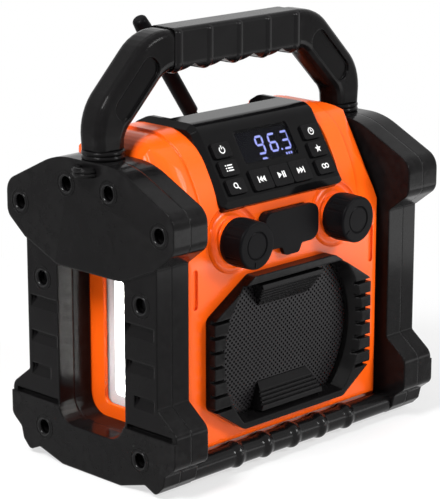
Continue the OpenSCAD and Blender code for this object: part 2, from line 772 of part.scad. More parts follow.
display_v = 36;
key_column = 42;
key_rows = [37, 24.4, 11.7];
large_row = 12.6;
large_pitch = large_key_w + 0.8;
key_r = 1.6;
small_keys = [for (s = [-1, 1], v = key_rows) [s*key_column, v, key_w, key_h]];
large_keys = [for (k = [-1:1]) [k*large_pitch, large_row, large_key_w, large_key_h]];
key_side = 0.15;

module panel_cut(at, w, h, r, low, high) translate([at.x, at.y, low]) plate(w, h, r, high - low);

module control_panel() color(BLACK) difference() {
    intersection() {
        panel_blank(0);
        panel_bevels();
    }
    // between the cheeks the panel stops short
    translate([-deck_w/2, deck_y, deck_z - 1]) cube([deck_w, 60, 30]);
    panel_hollow();
    on_panel() {
        for (k = concat(small_keys, large_keys))
            panel_cut(k, k[2] + 2*key_side, k[3] + 2*key_side, key_r, -panel_face_t - 1, 20);
        panel_cut([0, display_v], display_w - 3, display_h - 3, 1, -panel_face_t - 1, 20);
        panel_cut([0, display_v], display_w + 2*seat_gap, display_h + 2*seat_gap, 2, -1.4, 20);
    }
}

module display_window() color([0.1, 0.1, 0.14, 0.5]) on_panel()
    panel_cut([0, display_v], display_w, display_h, 2, -1.4, -0.3);

module_back = -panel_face_t - 3.4;
module display_module() color("darkblue") on_panel()
    panel_cut([0, display_v], display_w + 2, display_h + 1.6, 1, module_back, -panel_face_t);

flange_t = 1;
flange_side = 0.8;
mat_top = -panel_face_t - 0.1 - flange_t - key_travel - 0.2;
mat_t = 1;
mat_low = module_back;
module keypad_mat() color("gray") on_panel() difference() {
    panel_cut([0, (hollow_low + hollow_high)/2], hollow_w - 2*gap, hollow_high - hollow_low - 2*gap, 2,
        mat_low, mat_top);
    panel_cut([0, display_v], display_w + 2 + 2*gap, display_h + 1.6 + 2*gap, 1, -20, 20);
}

module control_board() color("darkgreen") on_panel()
    panel_cut([0, (hollow_low + hollow_high)/2], hollow_w - 2*gap, hollow_high - hollow_low - 2*gap, 2,
        mat_low - 1.6, mat_low);

// A key: a rounded cap that stands through the panel, held by a flange behind it
module key(k) color([0.16, 0.16, 0.17]) on_panel() {
    panel_cut(k, k[2], k[3], key_r, -panel_face_t - 0.1, key_rise);
    panel_cut(k, k[2] + min(flange_side, (large_pitch - large_key_w)/2 - 0.12)*2, k[3] + flange_side, key_r,
        -panel_face_t - 0.1 - flange_t, -panel_face_t - 0.1);
}

module key_power() key(small_keys[0]);
module key_mode() key(small_keys[1]);
module key_scan() key(small_keys[2]);
module key_clock() key(small_keys[3]);
module key_preset() key(small_keys[4]);
module key_pair() key(small_keys[5]);
module key_previous() key(large_keys[0]);
module key_play() key(large_keys[1]);
module key_next() key(large_keys[2]);

// ---------------------------------------------------------------- knobs

knob_dish_d = 17.6;
flutes = 20;
module knob() difference() {
    rotate([90, 0, 0]) rotate_extrude() polygon(rounded([[0, knob_back, 0], [knob_d/2 - 0.6, knob_back, 0.8],
        [knob_d/2, knob_back + 4, 0], [knob_d/2 - 0.5, knob_face, 1.4], [knob_dish_d/2 + 0.6, knob_face, 0],
        [knob_dish_d/2, knob_face - 0.8, 0], [knob_dish_d/2 - 0.8, knob_face - 0.3, 0], [0, knob_face - 0.3, 0]], 4));
    for (k = [0:flutes - 1]) rotate([0, (k + 0.5)*360/flutes, 0]) translate([knob_d/2 + 1.15, 0, 0])
        rod_y(3.4, -knob_face - 1, -knob_back - 4, $fn = 24);
    rod_y(shaft_d + 2*snug, shaft_tip, 0);
}

shaft_tip = -knob_face + 3.6;
encoder_front = cavity_front;
encoder_back = encoder_front + 9;
module shaft() rod_y(shaft_d, shaft_tip, encoder_back - 1);

module encoder() difference() {
    union() {
        rod_y(bush_d, 1.5 - knob_back, encoder_front + 1);
        translate([-7, encoder_front, -7]) cube([14, encoder_back - encoder_front, 14]);
    }
    rod_y(shaft_d + 2*snug, -knob_face, encoder_back - 0.9);
}

module at_volume() translate([-knob_x, 0, knob_z]) children();
module at_tuning() translate([knob_x, 0, knob_z]) children();
module volume_knob() color(RUBBER) at_volume() knob();
module tuning_knob() color(RUBBER) at_tuning() knob();
module volume_shaft() color("silver") at_volume() shaft();
module tuning_shaft() color("silver") at_tuning() shaft();
module encoders() color("lightsteelblue") {
    at_volume() encoder();
    at_tuning() encoder();
}

// ---------------------------------------------------------------- sockets and their cover

tray_face = -body_front - 1.4;
tray_back = cavity_front + 2;
cover_back = tray_face - gap;
cover_front = cover_back - cover_t;
pin_d = 2;
// The cover's pin lies just behind the rounded top edge of the tray
tray_round = 1.6;
cover_pin_y = tray_face + tray_round;
cover_pin_z = cover_z + tray_h/2 - tray_round;
lug_w = 5;
lug_x = tray_w/2 - 10;
lug_r = 1.8;
usb_w = 13.2;
usb_h = 5.8;
usb_x = -9;
aux_d = 6;
aux_x = 11;
socket_z = cover_z - 3;
module port_tray() color(BLACK) difference() {
    intersection() {
        along_y(tray_face, tray_back) polygon(rounded(box_corners(tray_w, tray_h, 6, 0, cover_z)));
        along_x(-tray_w, tray_w) polygon(rounded([[tray_face, cover_z - tray_h, 0], [tray_back + 1, cover_z - tray_h, 0],
            [tray_back + 1, cover_z + tray_h/2, 0], [tray_face, cover_z + tray_h/2, tray_round]]));
    }
    translate([usb_x - usb_w/2 - seat_gap, tray_face - 1, socket_z - usb_h/2 - seat_gap])
        cube([usb_w + 2*seat_gap, 30, usb_h + 2*seat_gap]);
    translate([aux_x, 0, socket_z]) rod_y(aux_d + 2*seat_gap, tray_face - 1, tray_back + 1);
    // slots that the cover's lugs turn in
    for (s = [-1, 1]) translate([s*lug_x - lug_w/2 - gap, tray_face - 1, cover_pin_z - lug_r - gap])
        cube([lug_w + 2*gap, tray_round + 1 + lug_r + gap, 10]);
    translate([0, cover_pin_y, cover_pin_z]) rod_x(pin_d + 2*snug, -lug_x - lug_w, lug_x + lug_w);
}

module usb_socket() color("silver") difference() {
    translate([usb_x - usb_w/2, tray_face + 0.3, socket_z - usb_h/2]) cube([usb_w, 14, usb_h]);
    translate([usb_x - usb_w/2 + 0.4, tray_face - 1, socket_z - usb_h/2 + 0.4]) cube([usb_w - 0.8, 12, usb_h - 0.8]);
}

module aux_socket() color("dimgray") translate([aux_x, 0, socket_z]) difference() {
    rod_y(aux_d, tray_face + 0.3, tray_back + 6);
    rod_y(3.6, tray_face - 1, tray_back + 4);
}

module dc_socket() color("dimgray") translate([dc_x, 0, dc_z]) difference() {
    union() {
        rod_y(dc_d, body_back - 10, body_back - 0.2);
        rod_y(dc_d + 4, body_back - wall - 3, body_back - wall);
    }
    difference() {
        rod_y(6, body_back - 9, body_back + 1);
        rod_y(2, body_back - 12, body_back - 1.5);
    }
}

tab_w = 17;
tab_drop = 6;
module port_cover() color(RUBBER) difference() {
    union() {
        along_y(cover_front, cover_back) polygon(rounded([
            [cover_w/2, cover_z + cover_h/2, 7.5], [-cover_w/2, cover_z + cover_h/2, 7.5],
            [-cover_w/2, cover_z - cover_h/2, 7.5], [-tab_w/2 - 1, cover_z - cover_h/2, 1.5],
            [-tab_w/2 + 2, cover_z - cover_h/2 - tab_drop, 3], [tab_w/2 - 2, cover_z - cover_h/2 - tab_drop, 3],
            [tab_w/2 + 1, cover_z - cover_h/2, 1.5], [cover_w/2, cover_z - cover_h/2, 7.5]]));
        // lugs that reach back to the pin
        for (s = [-1, 1]) {
            translate([s*lug_x - lug_w/2, cover_back - 1, cover_pin_z - lug_r])
                cube([lug_w, cover_pin_y - cover_back + 1, 2*lug_r]);
            translate([s*lug_x, cover_pin_y, cover_pin_z]) rod_x(2*lug_r, -lug_w/2, lug_w/2);
        }
    }
    translate([0, cover_pin_y, cover_pin_z]) rod_x(pin_d + 2*snug, -tray_w, tray_w);
}

module hinge_pins() color("silver") {
    translate([0, cover_pin_y, cover_pin_z]) rod_x(pin_d, gap - lug_x - lug_w, lug_x + lug_w - gap);
    translate([0, door_axis_y, door_axis_z]) rod_x(pin_d, -door_w/2 - 2.8, door_w/2 + 2.8);
    translate([aerial_x, 0, aerial_z]) {
        rod_y(aerial_pin_d, bracket_front, knuckle_back + gap);
        rod_y(8, knuckle_back + gap, knuckle_back + gap + 1.6);
    }
}

// ---------------------------------------------------------------- loudspeaker

grille_top_w = 76;
grille_low_w = 96;
grille_rise = 22;
grille_r = 6;
mesh_t = 1.2;
mesh_front = -body_front + 4;
skirt_wall = 2;
grille_mid = speaker_z;
function grille_corners() = rounded([
    [grille_top_w/2, grille_mid + grille_h/2 + 1, grille_r], [-grille_top_w/2, grille_mid + grille_h/2 + 1, grille_r],
    [-grille_w/2, grille_mid + grille_h/2 - grille_rise, grille_r], [-grille_w/2, grille_mid - grille_h/2 + 18, grille_r],
    [-grille_low_w/2, grille_mid - grille_h/2, grille_r], [grille_low_w/2, grille_mid - grille_h/2, grille_r],
    [grille_w/2, grille_mid - grille_h/2 + 18, grille_r], [grille_w/2, grille_mid + grille_h/2 - grille_rise, grille_r]]);

// Flare of the opening, from the front of the body to the front of the frame
flare = 4.5;
flare_rise = 3;
flare_end = 1;
module grille_flare() let(depth = grille_front - body_front, over = 1 + flare_end/depth) intersection() {
    translate([0, -body_front, grille_mid]) rotate([90, 0, 0])
        cylinder(d1 = grille_bore, d2 = grille_bore + 2*flare*over, h = depth + flare_end);
    along_x(-grille_bore, grille_bore) polygon([
        [-body_front, grille_mid - grille_open_h/2], [-body_front, grille_mid + grille_open_h/2],
        [-grille_front - flare_end, grille_mid + grille_open_h/2 + flare_rise*over],
        [-grille_front - flare_end, grille_mid - grille_open_h/2 - flare_rise*over]]);
}

// Round opening with a flat top and bottom, grown by c
module grille_opening(y0, y1, c) translate([0, 0, grille_mid]) intersection() {
    rod_y(grille_bore + 2*c, y0, y1);
    translate([-grille_bore, y0 - 1, -grille_open_h/2 - c]) cube([2*grille_bore, y1 - y0 + 2, grille_open_h + 2*c]);
}

module skirt_blank(c) grille_opening(-body_front - 1, cavity_front + 1, skirt_wall + c);

rib_pitch = 9.8;
rib_count = 6;
rib_drop = 2.7;
rib_slot_h = 2.4;
rib_slot_len = 15;
rib_slot_depth = 4.5;
module rib_slots() both_sides() for (k = [0:rib_count])
    translate([grille_w/2 - rib_slot_len, -grille_front - 1,
        grille_mid - rib_drop + (k - rib_count/2)*rib_pitch - rib_slot_h/2])
        cube([rib_slot_len + 5, rib_slot_depth + 1, rib_slot_h]);

module grille_frame() color(BLACK) difference() {
    union() {
        along_y(-grille_front, -body_front) polygon(grille_corners());
        grille_opening(-body_front - 1, mesh_front, skirt_wall);
    }
    grille_opening(-grille_front - 1, mesh_front + 1, 0);
    grille_flare();
    rib_slots();
}

module grille_mesh() color([0.2, 0.2, 0.21]) grille_opening(mesh_front, mesh_front + mesh_t, skirt_wall - 0.2);

// Wedge-shaped bars with treads, above and below the mesh
tread_w = 60;
tread_h = 17;
tread_depth = grille_front - 2.2 + mesh_front;
tread_foot = 0.2 - grille_open_h/2;
tread_taper = 7;
// A smooth upper slope meets the treaded face at the edge, and the treads run down to the toe [y, z]
tread_edge = [mesh_front - 4.5, tread_foot + tread_h - 4.8];
tread_toe = [mesh_front - tread_depth, tread_foot + 3];
treads = 4;
tread_cut = 1.2;
module tread_bar() difference() {
    intersection() {
        along_x(-tread_w, tread_w) polygon([[tread_toe.x, tread_foot], tread_toe, tread_edge,
            [mesh_front, tread_foot + tread_h], [mesh_front, tread_foot]]);
        along_y(-grille_front, 0) polygon([[-tread_w/2, tread_foot - 1], [tread_w/2, tread_foot - 1],
            [tread_w/2 - tread_taper, tread_foot + tread_h + 1], [tread_taper - tread_w/2, tread_foot + tread_h + 1]]);
    }
    for (k = [0:treads - 1]) let(at = tread_toe + (tread_edge - tread_toe)*(k + 0.5)/treads)
        translate([-tread_w, at.x - tread_cut, at.y - tread_cut/2]) cube([2*tread_w, 2*tread_cut, tread_cut]);
}

module lower_tread_bar() color(RUBBER) translate([0, 0, grille_mid]) tread_bar();
module upper_tread_bar() color(RUBBER) translate([0, 0, grille_mid]) mirror([0, 0, 1]) tread_bar();

basket_depth = 30;
flange_y = cavity_front;
magnet_d = 62;
magnet_t = 14;
cone_d = speaker_d - 16;
basket_t = 2;
basket_foot = magnet_d/2 - 9;
coil_r = 0.45*magnet_d/2;
module speaker_basket() color("gray") translate([0, flange_y, grille_mid]) rotate([-90, 0, 0])
    rotate_extrude($fn = 64) polygon([[cone_d/2, 0], [speaker_d/2, 0], [speaker_d/2, basket_t],
        [speaker_d/2 - 3*basket_t, basket_t], [basket_foot, basket_depth], [coil_r, basket_depth],
        [coil_r, basket_depth - basket_t], [basket_foot - basket_t, basket_depth - basket_t],
        [cone_d/2 + 0.6, 1.6*basket_t]]);

cone_rim = cone_d/2 - seat_gap;
cone_clear = 10;
cone_depth = basket_depth - cone_clear;
cap_r = coil_r - 1;
cone_t = 1.2;
module speaker_cone() color([0.1, 0.1, 0.1]) translate([0, flange_y, grille_mid]) rotate([-90, 0, 0])
    rotate_extrude($fn = 64) polygon([[cone_rim, 0.2], [cone_rim, 0.2 + cone_t], [cone_rim - 6, 2*cone_t],
        [cap_r + 5, cone_depth - cone_t], [cap_r, cone_depth], [0, cone_depth], [0, cone_depth - 2.5*cone_t],
        [cap_r - 1, cone_depth - 3*cone_t], [cone_rim - 7, 0.8]]);

module speaker_magnet() color("dimgray") translate([0, flange_y + basket_depth, grille_mid]) rotate([-90, 0, 0])
    difference() {
        cylinder(d = magnet_d, h = magnet_t);
        translate([0, 0, magnet_t - 1]) cylinder(d = 10, h = 3);
    }

// ---------------------------------------------------------------- lamp, in the left side of the body

lamp_hole_w = window_w + 3;
lamp_hole_low = window_bottom - 2;
lamp_hole_high = window_top + 2;
lamp_face = -guard_in + lamp_sink;
lamp_lip = 3;
lamp_depth = 12;
lens_t = 2;
lamp_mid_z = (lamp_bottom + lamp_top)/2;
lamp_h = lamp_top - lamp_bottom;
function lamp_outline(c) = rounded([[lamp_hole_w/2 - c, lamp_hole_low + c, window_r - c],
    [lamp_hole_w/2 - c, lamp_hole_high - c, 4], [-lamp_hole_w/2 + c, lamp_hole_high - c, 4],
    [-lamp_hole_w/2 + c, lamp_hole_low + c, window_r - c]]);
function lamp_inner(c, r) = rounded(box_corners(lamp_w + 2*c, lamp_h + 2*c, r, 0, lamp_mid_z));

module lamp_hole() along_x(-guard_in - 1, wall - guard_in + 1) polygon(lamp_outline(0));

module lamp_surround() color(ORANGE) difference() {
    union() {
        along_x(lamp_face, lamp_face + lamp_depth) polygon(lamp_outline(seat_gap));
        along_x(wall - guard_in, wall - guard_in + 2) polygon(lamp_outline(-3));
    }
    along_x(lamp_face - 1, lamp_face + lamp_depth + 1) polygon(lamp_inner(0, 5));
    along_x(lamp_face + lamp_lip, lamp_face + lamp_depth + 1) polygon(lamp_inner(3, 6));
}

module lamp_lens() color([0.9, 0.95, 1, 0.35]) along_x(lamp_face + lamp_lip, lamp_face + lamp_lip + lens_t)
    polygon(lamp_inner(3 - seat_gap, 6));

reflector_t = 5;
reflector_x = lamp_face + lamp_lip + lens_t + seat_gap;
module lamp_reflector() color("white") difference() {
    along_x(reflector_x, reflector_x + reflector_t) polygon(lamp_inner(3 - seat_gap, 6));
    along_x(reflector_x - 1, reflector_x + reflector_t + 1) polygon(lamp_inner(-6, 4));
}

led_pitch = 8;
led_rows = 10;
led_columns = 3;
lamp_board_x = reflector_x + reflector_t;
module lamp_board() color("ivory") {
    along_x(lamp_board_x, lamp_board_x + 1.6) polygon(lamp_inner(3 - seat_gap, 6));
    for (i = [0:led_columns - 1], k = [0:led_rows - 1])
        translate([lamp_board_x - 0.9, (i - (led_columns - 1)/2)*led_pitch - 1.75,
            lamp_mid_z + (k - (led_rows - 1)/2)*led_pitch - 1.75]) cube([1, 3.5, 3.5]);
}

// ---------------------------------------------------------------- aerial

aerial_x = 28;
aerial_y = body_back + 8;
knuckle_d = 14;
knuckle_back = aerial_y + 5.5;
knuckle_front = aerial_y - 4.2;
bracket_front = body_back + 0.4;
aerial_pin_d = 4;
bracket_root = 12;
whip_start = 15;
stem_d = 2*(aerial_y - knuckle_front) - 0.4;
module antenna_bracket() color(BLACK) difference() {
    union() {
        translate([aerial_x, 0, aerial_z]) rod_y(knuckle_d + 2, body_back - bracket_root, knuckle_front - gap);
        // pad that seats on the back wall
        along_y(body_back, knuckle_front - gap)
            polygon(rounded(box_corners(knuckle_d + 2, 22, 3, aerial_x, aerial_z - 11)));
    }
    body_blank();
    translate([aerial_x, 0, aerial_z]) rod_y(aerial_pin_d + 2*snug, bracket_front - 0.2, 100);
}

module at_aerial() translate([aerial_x, aerial_y, aerial_z]) rotate([0, -aerial_lean, 0]) children();
module antenna_knuckle() color(BLACK) difference() {
    union() {
        translate([aerial_x, 0, aerial_z]) rod_y(knuckle_d, knuckle_front, knuckle_back);
        at_aerial() cylinder(d = stem_d, h = whip_start);
    }
    translate([aerial_x, 0, aerial_z]) rod_y(aerial_pin_d + 2*snug, 0, 100);
}

module antenna_whip() color(RUBBER) at_aerial() rotate_extrude() polygon(rounded([
    [0, whip_start, 0], [aerial_d/2, whip_start, 0.8], [aerial_d/2, aerial_len - 8, 0],
    [aerial_d/2 - 0.6, aerial_len, 2.6], [0, aerial_len, 0]], 4));

clip_x = -56;
clip_w = 12;
clip_lip = 1.6;
cradle_z = aerial_z - aerial_d/2 - gap;
module antenna_clip() color(BLACK) difference() {
    along_x(clip_x - clip_w/2, clip_x + clip_w/2) polygon(rounded([
        [body_back - 6, cradle_z - 12, 0],
        [aerial_y + aerial_d/2 + 2.4, cradle_z - 5, 4],
        [aerial_y + aerial_d/2 + 2.4, aerial_z + 2, 1],
        [aerial_y + aerial_d/2 + gap, aerial_z + 2, 0.8],
        [aerial_y + aerial_d/2 + gap, cradle_z, 0],
        [aerial_y - aerial_d/2 - gap, cradle_z, 0],
        [aerial_y - aerial_d/2 - gap, aerial_z + 6, 1],
        [aerial_y - aerial_d/2 - gap - clip_lip, aerial_z + 6, 0.6],
        [body_back - 6, cradle_z, 0]], 5));
    body_blank();
}

// ---------------------------------------------------------------- battery

latch_w = 16;
module battery_door() color(BLACK) difference() {
    union() {
        translate([-door_w/2, body_back - door_t, door_axis_z]) cube([door_w, door_t, door_h - hinge_r]);
        translate([0, door_axis_y, door_axis_z]) rod_x(2*hinge_r, -door_w/2, door_w/2);
    }
    // finger notch at the top edge
    translate([-latch_w/2, body_back - 1, door_z + door_h - 5]) cube([latch_w, 2, 6]);
    translate([0, door_axis_y, door_axis_z]) rod_x(pin_d + 2*snug, -door_w, door_w);
}

module battery_pack() color("steelblue") at_door() along_y(battery_y, body_back - door_t - 2)
    polygon(rounded(box_corners(pack_w, pack_h, 3)));

// ---------------------------------------------------------------- drawing

front_shell();
rear_shell();
shell_screws();
main_board();
front_bar();
rear_bar();
rubber_feet();
left_guard_outer();
left_guard_inner();
right_guard_outer();
right_guard_inner();
guard_screws();
strap_eyelets();
left_handle_arm();
right_handle_arm();
handle_tube();
handle_grip();
handle_collars();
control_panel();
display_window();
display_module();
control_board();
keypad_mat();
key_power();
key_mode();
key_scan();
key_clock();
key_preset();
key_pair();
key_previous();
key_play();
key_next();
volume_knob();
volume_shaft();
tuning_knob();
tuning_shaft();
encoders();
port_cover();
port_tray();
usb_socket();
aux_socket();
dc_socket();
grille_frame();
grille_mesh();
upper_tread_bar();
lower_tread_bar();
speaker_basket();
speaker_cone();
speaker_magnet();
lamp_surround();
lamp_reflector();
lamp_lens();
lamp_board();
antenna_bracket();
antenna_knuckle();
antenna_whip();
antenna_clip();
battery_door();
battery_pack();
hinge_pins();
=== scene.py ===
# %% [markdown]
# # A jobsite radio, dressed for its picture
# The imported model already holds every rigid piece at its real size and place, so this lesson only adds
# what a maker would call the finish: rounded edges, perforated metal, rubber, lit parts and materials.
# Each step first says what the thing is on the real radio and how else it could have been made.

# %% Load the frame
import json
import math
import bpy
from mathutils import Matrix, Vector


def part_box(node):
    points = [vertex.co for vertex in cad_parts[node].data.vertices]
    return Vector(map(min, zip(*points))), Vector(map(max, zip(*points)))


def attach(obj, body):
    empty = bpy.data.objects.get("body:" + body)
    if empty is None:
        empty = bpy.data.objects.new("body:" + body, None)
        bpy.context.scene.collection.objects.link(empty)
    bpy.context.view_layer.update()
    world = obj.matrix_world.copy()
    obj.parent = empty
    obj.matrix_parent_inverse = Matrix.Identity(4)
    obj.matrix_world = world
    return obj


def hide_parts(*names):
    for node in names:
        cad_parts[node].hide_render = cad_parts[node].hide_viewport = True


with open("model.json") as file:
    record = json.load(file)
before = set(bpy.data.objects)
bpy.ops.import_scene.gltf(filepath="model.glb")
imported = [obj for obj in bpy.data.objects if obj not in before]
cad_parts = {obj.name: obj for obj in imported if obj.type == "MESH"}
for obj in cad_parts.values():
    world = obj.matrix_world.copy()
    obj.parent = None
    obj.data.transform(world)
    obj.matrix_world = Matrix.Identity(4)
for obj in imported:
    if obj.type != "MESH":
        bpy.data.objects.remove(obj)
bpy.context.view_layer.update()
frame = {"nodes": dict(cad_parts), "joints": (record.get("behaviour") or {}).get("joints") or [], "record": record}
nodes = frame["nodes"]
MM = 0.001

# %% [markdown]
# ## Shader building blocks
# A shader tree is a list of nodes and wires. It could be written out in full for each material, but a few
# small helpers keep it readable: one makes a node with its settings, one wires it up, two do sums, two
# make and use a node group, and two start a material and a mix of two colours.

# %% Shader helpers
def add(tree, kind, **settings):
    made = tree.nodes.new("ShaderNode" + kind)
    for key, value in settings.items():
        if hasattr(made, key):
            setattr(made, key, value)
        else:
            made.inputs[key.replace("_", " ")].default_value = value
    return made


def wire(tree, source, target):
    tree.links.new(source, target)


def calc(tree, operation, a, b=0.0, clamp=False):
    made = add(tree, "Math", operation=operation, use_clamp=clamp)
    for socket, value in zip(made.inputs, (a, b)):
        if isinstance(value, (int, float)):
            socket.default_value = value
        else:
            wire(tree, value, socket)
    return made.outputs[0]


def ramp(tree, value, low, high, to_low=0.0, to_high=1.0):
    made = add(tree, "MapRange")
    wire(tree, value, made.inputs["Value"])
    for name, number in zip(("From Min", "From Max", "To Min", "To Max"), (low, high, to_low, to_high)):
        made.inputs[name].default_value = number
    return made.outputs["Result"]


print("node helpers: add, wire, calc, ramp")


# %% Node group helpers
def start_group(name, inputs, outputs):
    tree = bpy.data.node_groups.new(name, "ShaderNodeTree")
    for label, default in inputs.items():
        socket = tree.interface.new_socket(label, in_out="INPUT", socket_type="NodeSocketFloat")
        socket.default_value = default
    for label in outputs:
        tree.interface.new_socket(label, in_out="OUTPUT", socket_type="NodeSocketFloat")
    return tree, tree.nodes.new("NodeGroupInput"), tree.nodes.new("NodeGroupOutput")


def use_group(tree, group, **values):
    made = tree.nodes.new("ShaderNodeGroup")
    made.node_tree = group
    for key, value in values.items():
        made.inputs[key.replace("_", " ")].default_value = value
    return made


print("group helpers: start_group, use_group")


# %% Start of a material
def start_material(name, colour):
    """A new material with its base colour set, its node tree and its Principled shader."""
    made = bpy.data.materials.new(name)
    made.use_nodes = True
    shader = made.node_tree.nodes["Principled BSDF"]
    shader.inputs["Base Color"].default_value = (*colour, 1)
    return made, made.node_tree, shader


def two_colours(tree, first, second):
    """A colour mix whose factor is still free."""
    tint = add(tree, "Mix", data_type="RGBA")
    tint.inputs["A"].default_value = (*first, 1)
    tint.inputs["B"].default_value = (*second, 1)
    return tint


print("material helpers: start_material, two_colours")

# %% [markdown]
# ## Effects that several finishes share
# Moulded plastic carries a fine spark-eroded grain, and everything that is handled has faint smears and
# a little dust on its upper faces. These could be painted as images, but noise needs no file and stays
# sharp at any distance. Each effect is one node group with named inputs, so that the orange shell, the black
# guards and the rubber differ only in their numbers.

# %% Group: moulded grain
PIT_SHARE = 0.6    # height of the grain's pits beside its fine noise


def make_grain():
    knobs = {"Grain size": 0.6, "Depth": 1.0}
    tree, inlet, outlet = start_group("moulded grain", knobs, ["Height", "Shift"])
    place = add(tree, "TexCoord").outputs["Object"]
    scale = calc(tree, "DIVIDE", 1000.0, inlet.outputs["Grain size"])
    fine = add(tree, "TexNoise", Detail=2.0, Roughness=0.55)
    pits = add(tree, "TexVoronoi", feature="SMOOTH_F1")
    for texture in (fine, pits):
        wire(tree, place, texture.inputs["Vector"])
        wire(tree, scale, texture.inputs["Scale"])
    deep = calc(tree, "MULTIPLY", pits.outputs["Distance"], PIT_SHARE)
    both = calc(tree, "ADD", fine.outputs["Fac"], deep)
    wire(tree, calc(tree, "MULTIPLY", both, inlet.outputs["Depth"]), outlet.inputs["Height"])
    wire(tree, calc(tree, "SUBTRACT", fine.outputs["Fac"], 0.5), outlet.inputs["Shift"])
    return tree


grain_group = make_grain()
print("made the group", grain_group.name)


# %% Group: handling marks
SMEAR_FROM, SMEAR_TO = 0.35, 0.7    # band of the noise that a smear spans
SPECK_FROM, SPECK_TO = 0.45, 0.75
SPECK_SCALE = 900.0
DUST_SLOPE = 0.4                    # dust lies where a face looks up by more than this


def make_handling():
    knobs = {"Smear size": 30.0, "Amount": 1.0}
    tree, inlet, outlet = start_group("handling marks", knobs, ["Smear", "Dust"])
    place = add(tree, "TexCoord").outputs["Object"]
    broad = add(tree, "TexNoise", Detail=4.0, Roughness=0.6, Distortion=0.4)
    wire(tree, place, broad.inputs["Vector"])
    wire(tree, calc(tree, "DIVIDE", 1000.0, inlet.outputs["Smear size"]), broad.inputs["Scale"])
    smear = ramp(tree, broad.outputs["Fac"], SMEAR_FROM, SMEAR_TO)
    wire(tree, calc(tree, "MULTIPLY", smear, inlet.outputs["Amount"]), outlet.inputs["Smear"])
    upward = add(tree, "SeparateXYZ")
    wire(tree, add(tree, "NewGeometry").outputs["Normal"], upward.inputs[0])
    specks = add(tree, "TexNoise", Scale=SPECK_SCALE, Detail=3.0)
    wire(tree, place, specks.inputs["Vector"])
    facing = ramp(tree, upward.outputs["Z"], DUST_SLOPE, 1.0)
    lying = calc(tree, "MULTIPLY", facing, ramp(tree, specks.outputs["Fac"], SPECK_FROM, SPECK_TO))
    wire(tree, calc(tree, "MULTIPLY", lying, inlet.outputs["Amount"]), outlet.inputs["Dust"])
    return tree


handling_group = make_handling()
print("made the group", handling_group.name)


# %% Group: worn edges
FLAT_POINTINESS = 0.52              # just above what a flat face gives
PATCH_FROM, PATCH_TO = 0.35, 0.65
PATCH_SCALE = 180.0


def make_wear():
    tree, inlet, outlet = start_group("worn edges", {"Reach": 0.06, "Amount": 1.0}, ["Edge"])
    bent = add(tree, "NewGeometry").outputs["Pointiness"]
    patchy = add(tree, "TexNoise", Scale=PATCH_SCALE, Detail=3.0)
    wire(tree, add(tree, "TexCoord").outputs["Object"], patchy.inputs["Vector"])
    above = calc(tree, "SUBTRACT", bent, FLAT_POINTINESS)
    sharp = calc(tree, "DIVIDE", above, inlet.outputs["Reach"], clamp=True)
    worn = calc(tree, "MULTIPLY", sharp, ramp(tree, patchy.outputs["Fac"], PATCH_FROM, PATCH_TO))
    wire(tree, calc(tree, "MULTIPLY", worn, inlet.outputs["Amount"]), outlet.inputs["Edge"])
    return tree


wear_group = make_wear()
print("node groups:", [g.name for g in bpy.data.node_groups])

# %% [markdown]
# ## One recipe for every moulded finish
# Orange shell, black guards, rubber and gloss panel are the same idea with other numbers: a base colour
# that smears and dust shift a little, a roughness that the grain breaks up, and a bump made by the grain.
# Each could have a tree of its own, but one recipe keeps them alike and easy to tune side by side. A Bevel
# node rounds the shading of edges that are too small to model. Numbers that stay the same all over go
# straight on the shader's own sockets.

# %% Finish recipe
SMEAR_SIZE = 34.0     # mm across one smear
SMEAR_TINT = 0.1      # how much of a smear shows in the colour
GRAIN_GLOSS = 0.12    # how much the grain breaks up the gloss
GRAIN_RISE = 0.08     # mm, height of the grain
WEAR_REACH = 0.08     # pointiness above the flat at which an edge is fully worn


def finish(name, colour, rough, grain=0.6, depth=0.25, smear=0.05, dust=0.04, wear=0.0,
           pale=(0.5, 0.5, 0.5), edge=0.0, **fixed):
    """A moulded or painted finish. grain and edge are in mm, and fixed holds the shader's plain values."""
    made, tree, shader = start_material(name, colour)
    grains = use_group(tree, grain_group, Grain_size=grain, Depth=1.0)
    marks = use_group(tree, handling_group, Smear_size=SMEAR_SIZE, Amount=1.0)
    edges = use_group(tree, wear_group, Reach=WEAR_REACH, Amount=wear)
    tint = two_colours(tree, colour, pale)
    lift = calc(tree, "ADD", calc(tree, "MULTIPLY", marks.outputs["Dust"], dust),
                calc(tree, "MULTIPLY", marks.outputs["Smear"], smear * SMEAR_TINT))
    wire(tree, calc(tree, "ADD", lift, edges.outputs["Edge"], clamp=True), tint.inputs["Factor"])
    wire(tree, tint.outputs["Result"], shader.inputs["Base Color"])
    uneven = calc(tree, "ADD", calc(tree, "MULTIPLY", marks.outputs["Smear"], smear),
                  calc(tree, "MULTIPLY", grains.outputs["Shift"], GRAIN_GLOSS))
    wire(tree, calc(tree, "ADD", uneven, rough, clamp=True), shader.inputs["Roughness"])
    bump = add(tree, "Bump", Strength=depth, Distance=GRAIN_RISE * MM)
    wire(tree, grains.outputs["Height"], bump.inputs["Height"])
    if edge > 0:
        rounded = add(tree, "Bevel", samples=6, Radius=edge * MM)
        wire(tree, rounded.outputs["Normal"], bump.inputs["Normal"])
    wire(tree, bump.outputs["Normal"], shader.inputs["Normal"])
    for key, value in fixed.items():
        shader.inputs[key.replace("_", " ")].default_value = value
    return made


print("recipe: smears", SMEAR_SIZE, "mm across, grain", GRAIN_RISE, "mm high")


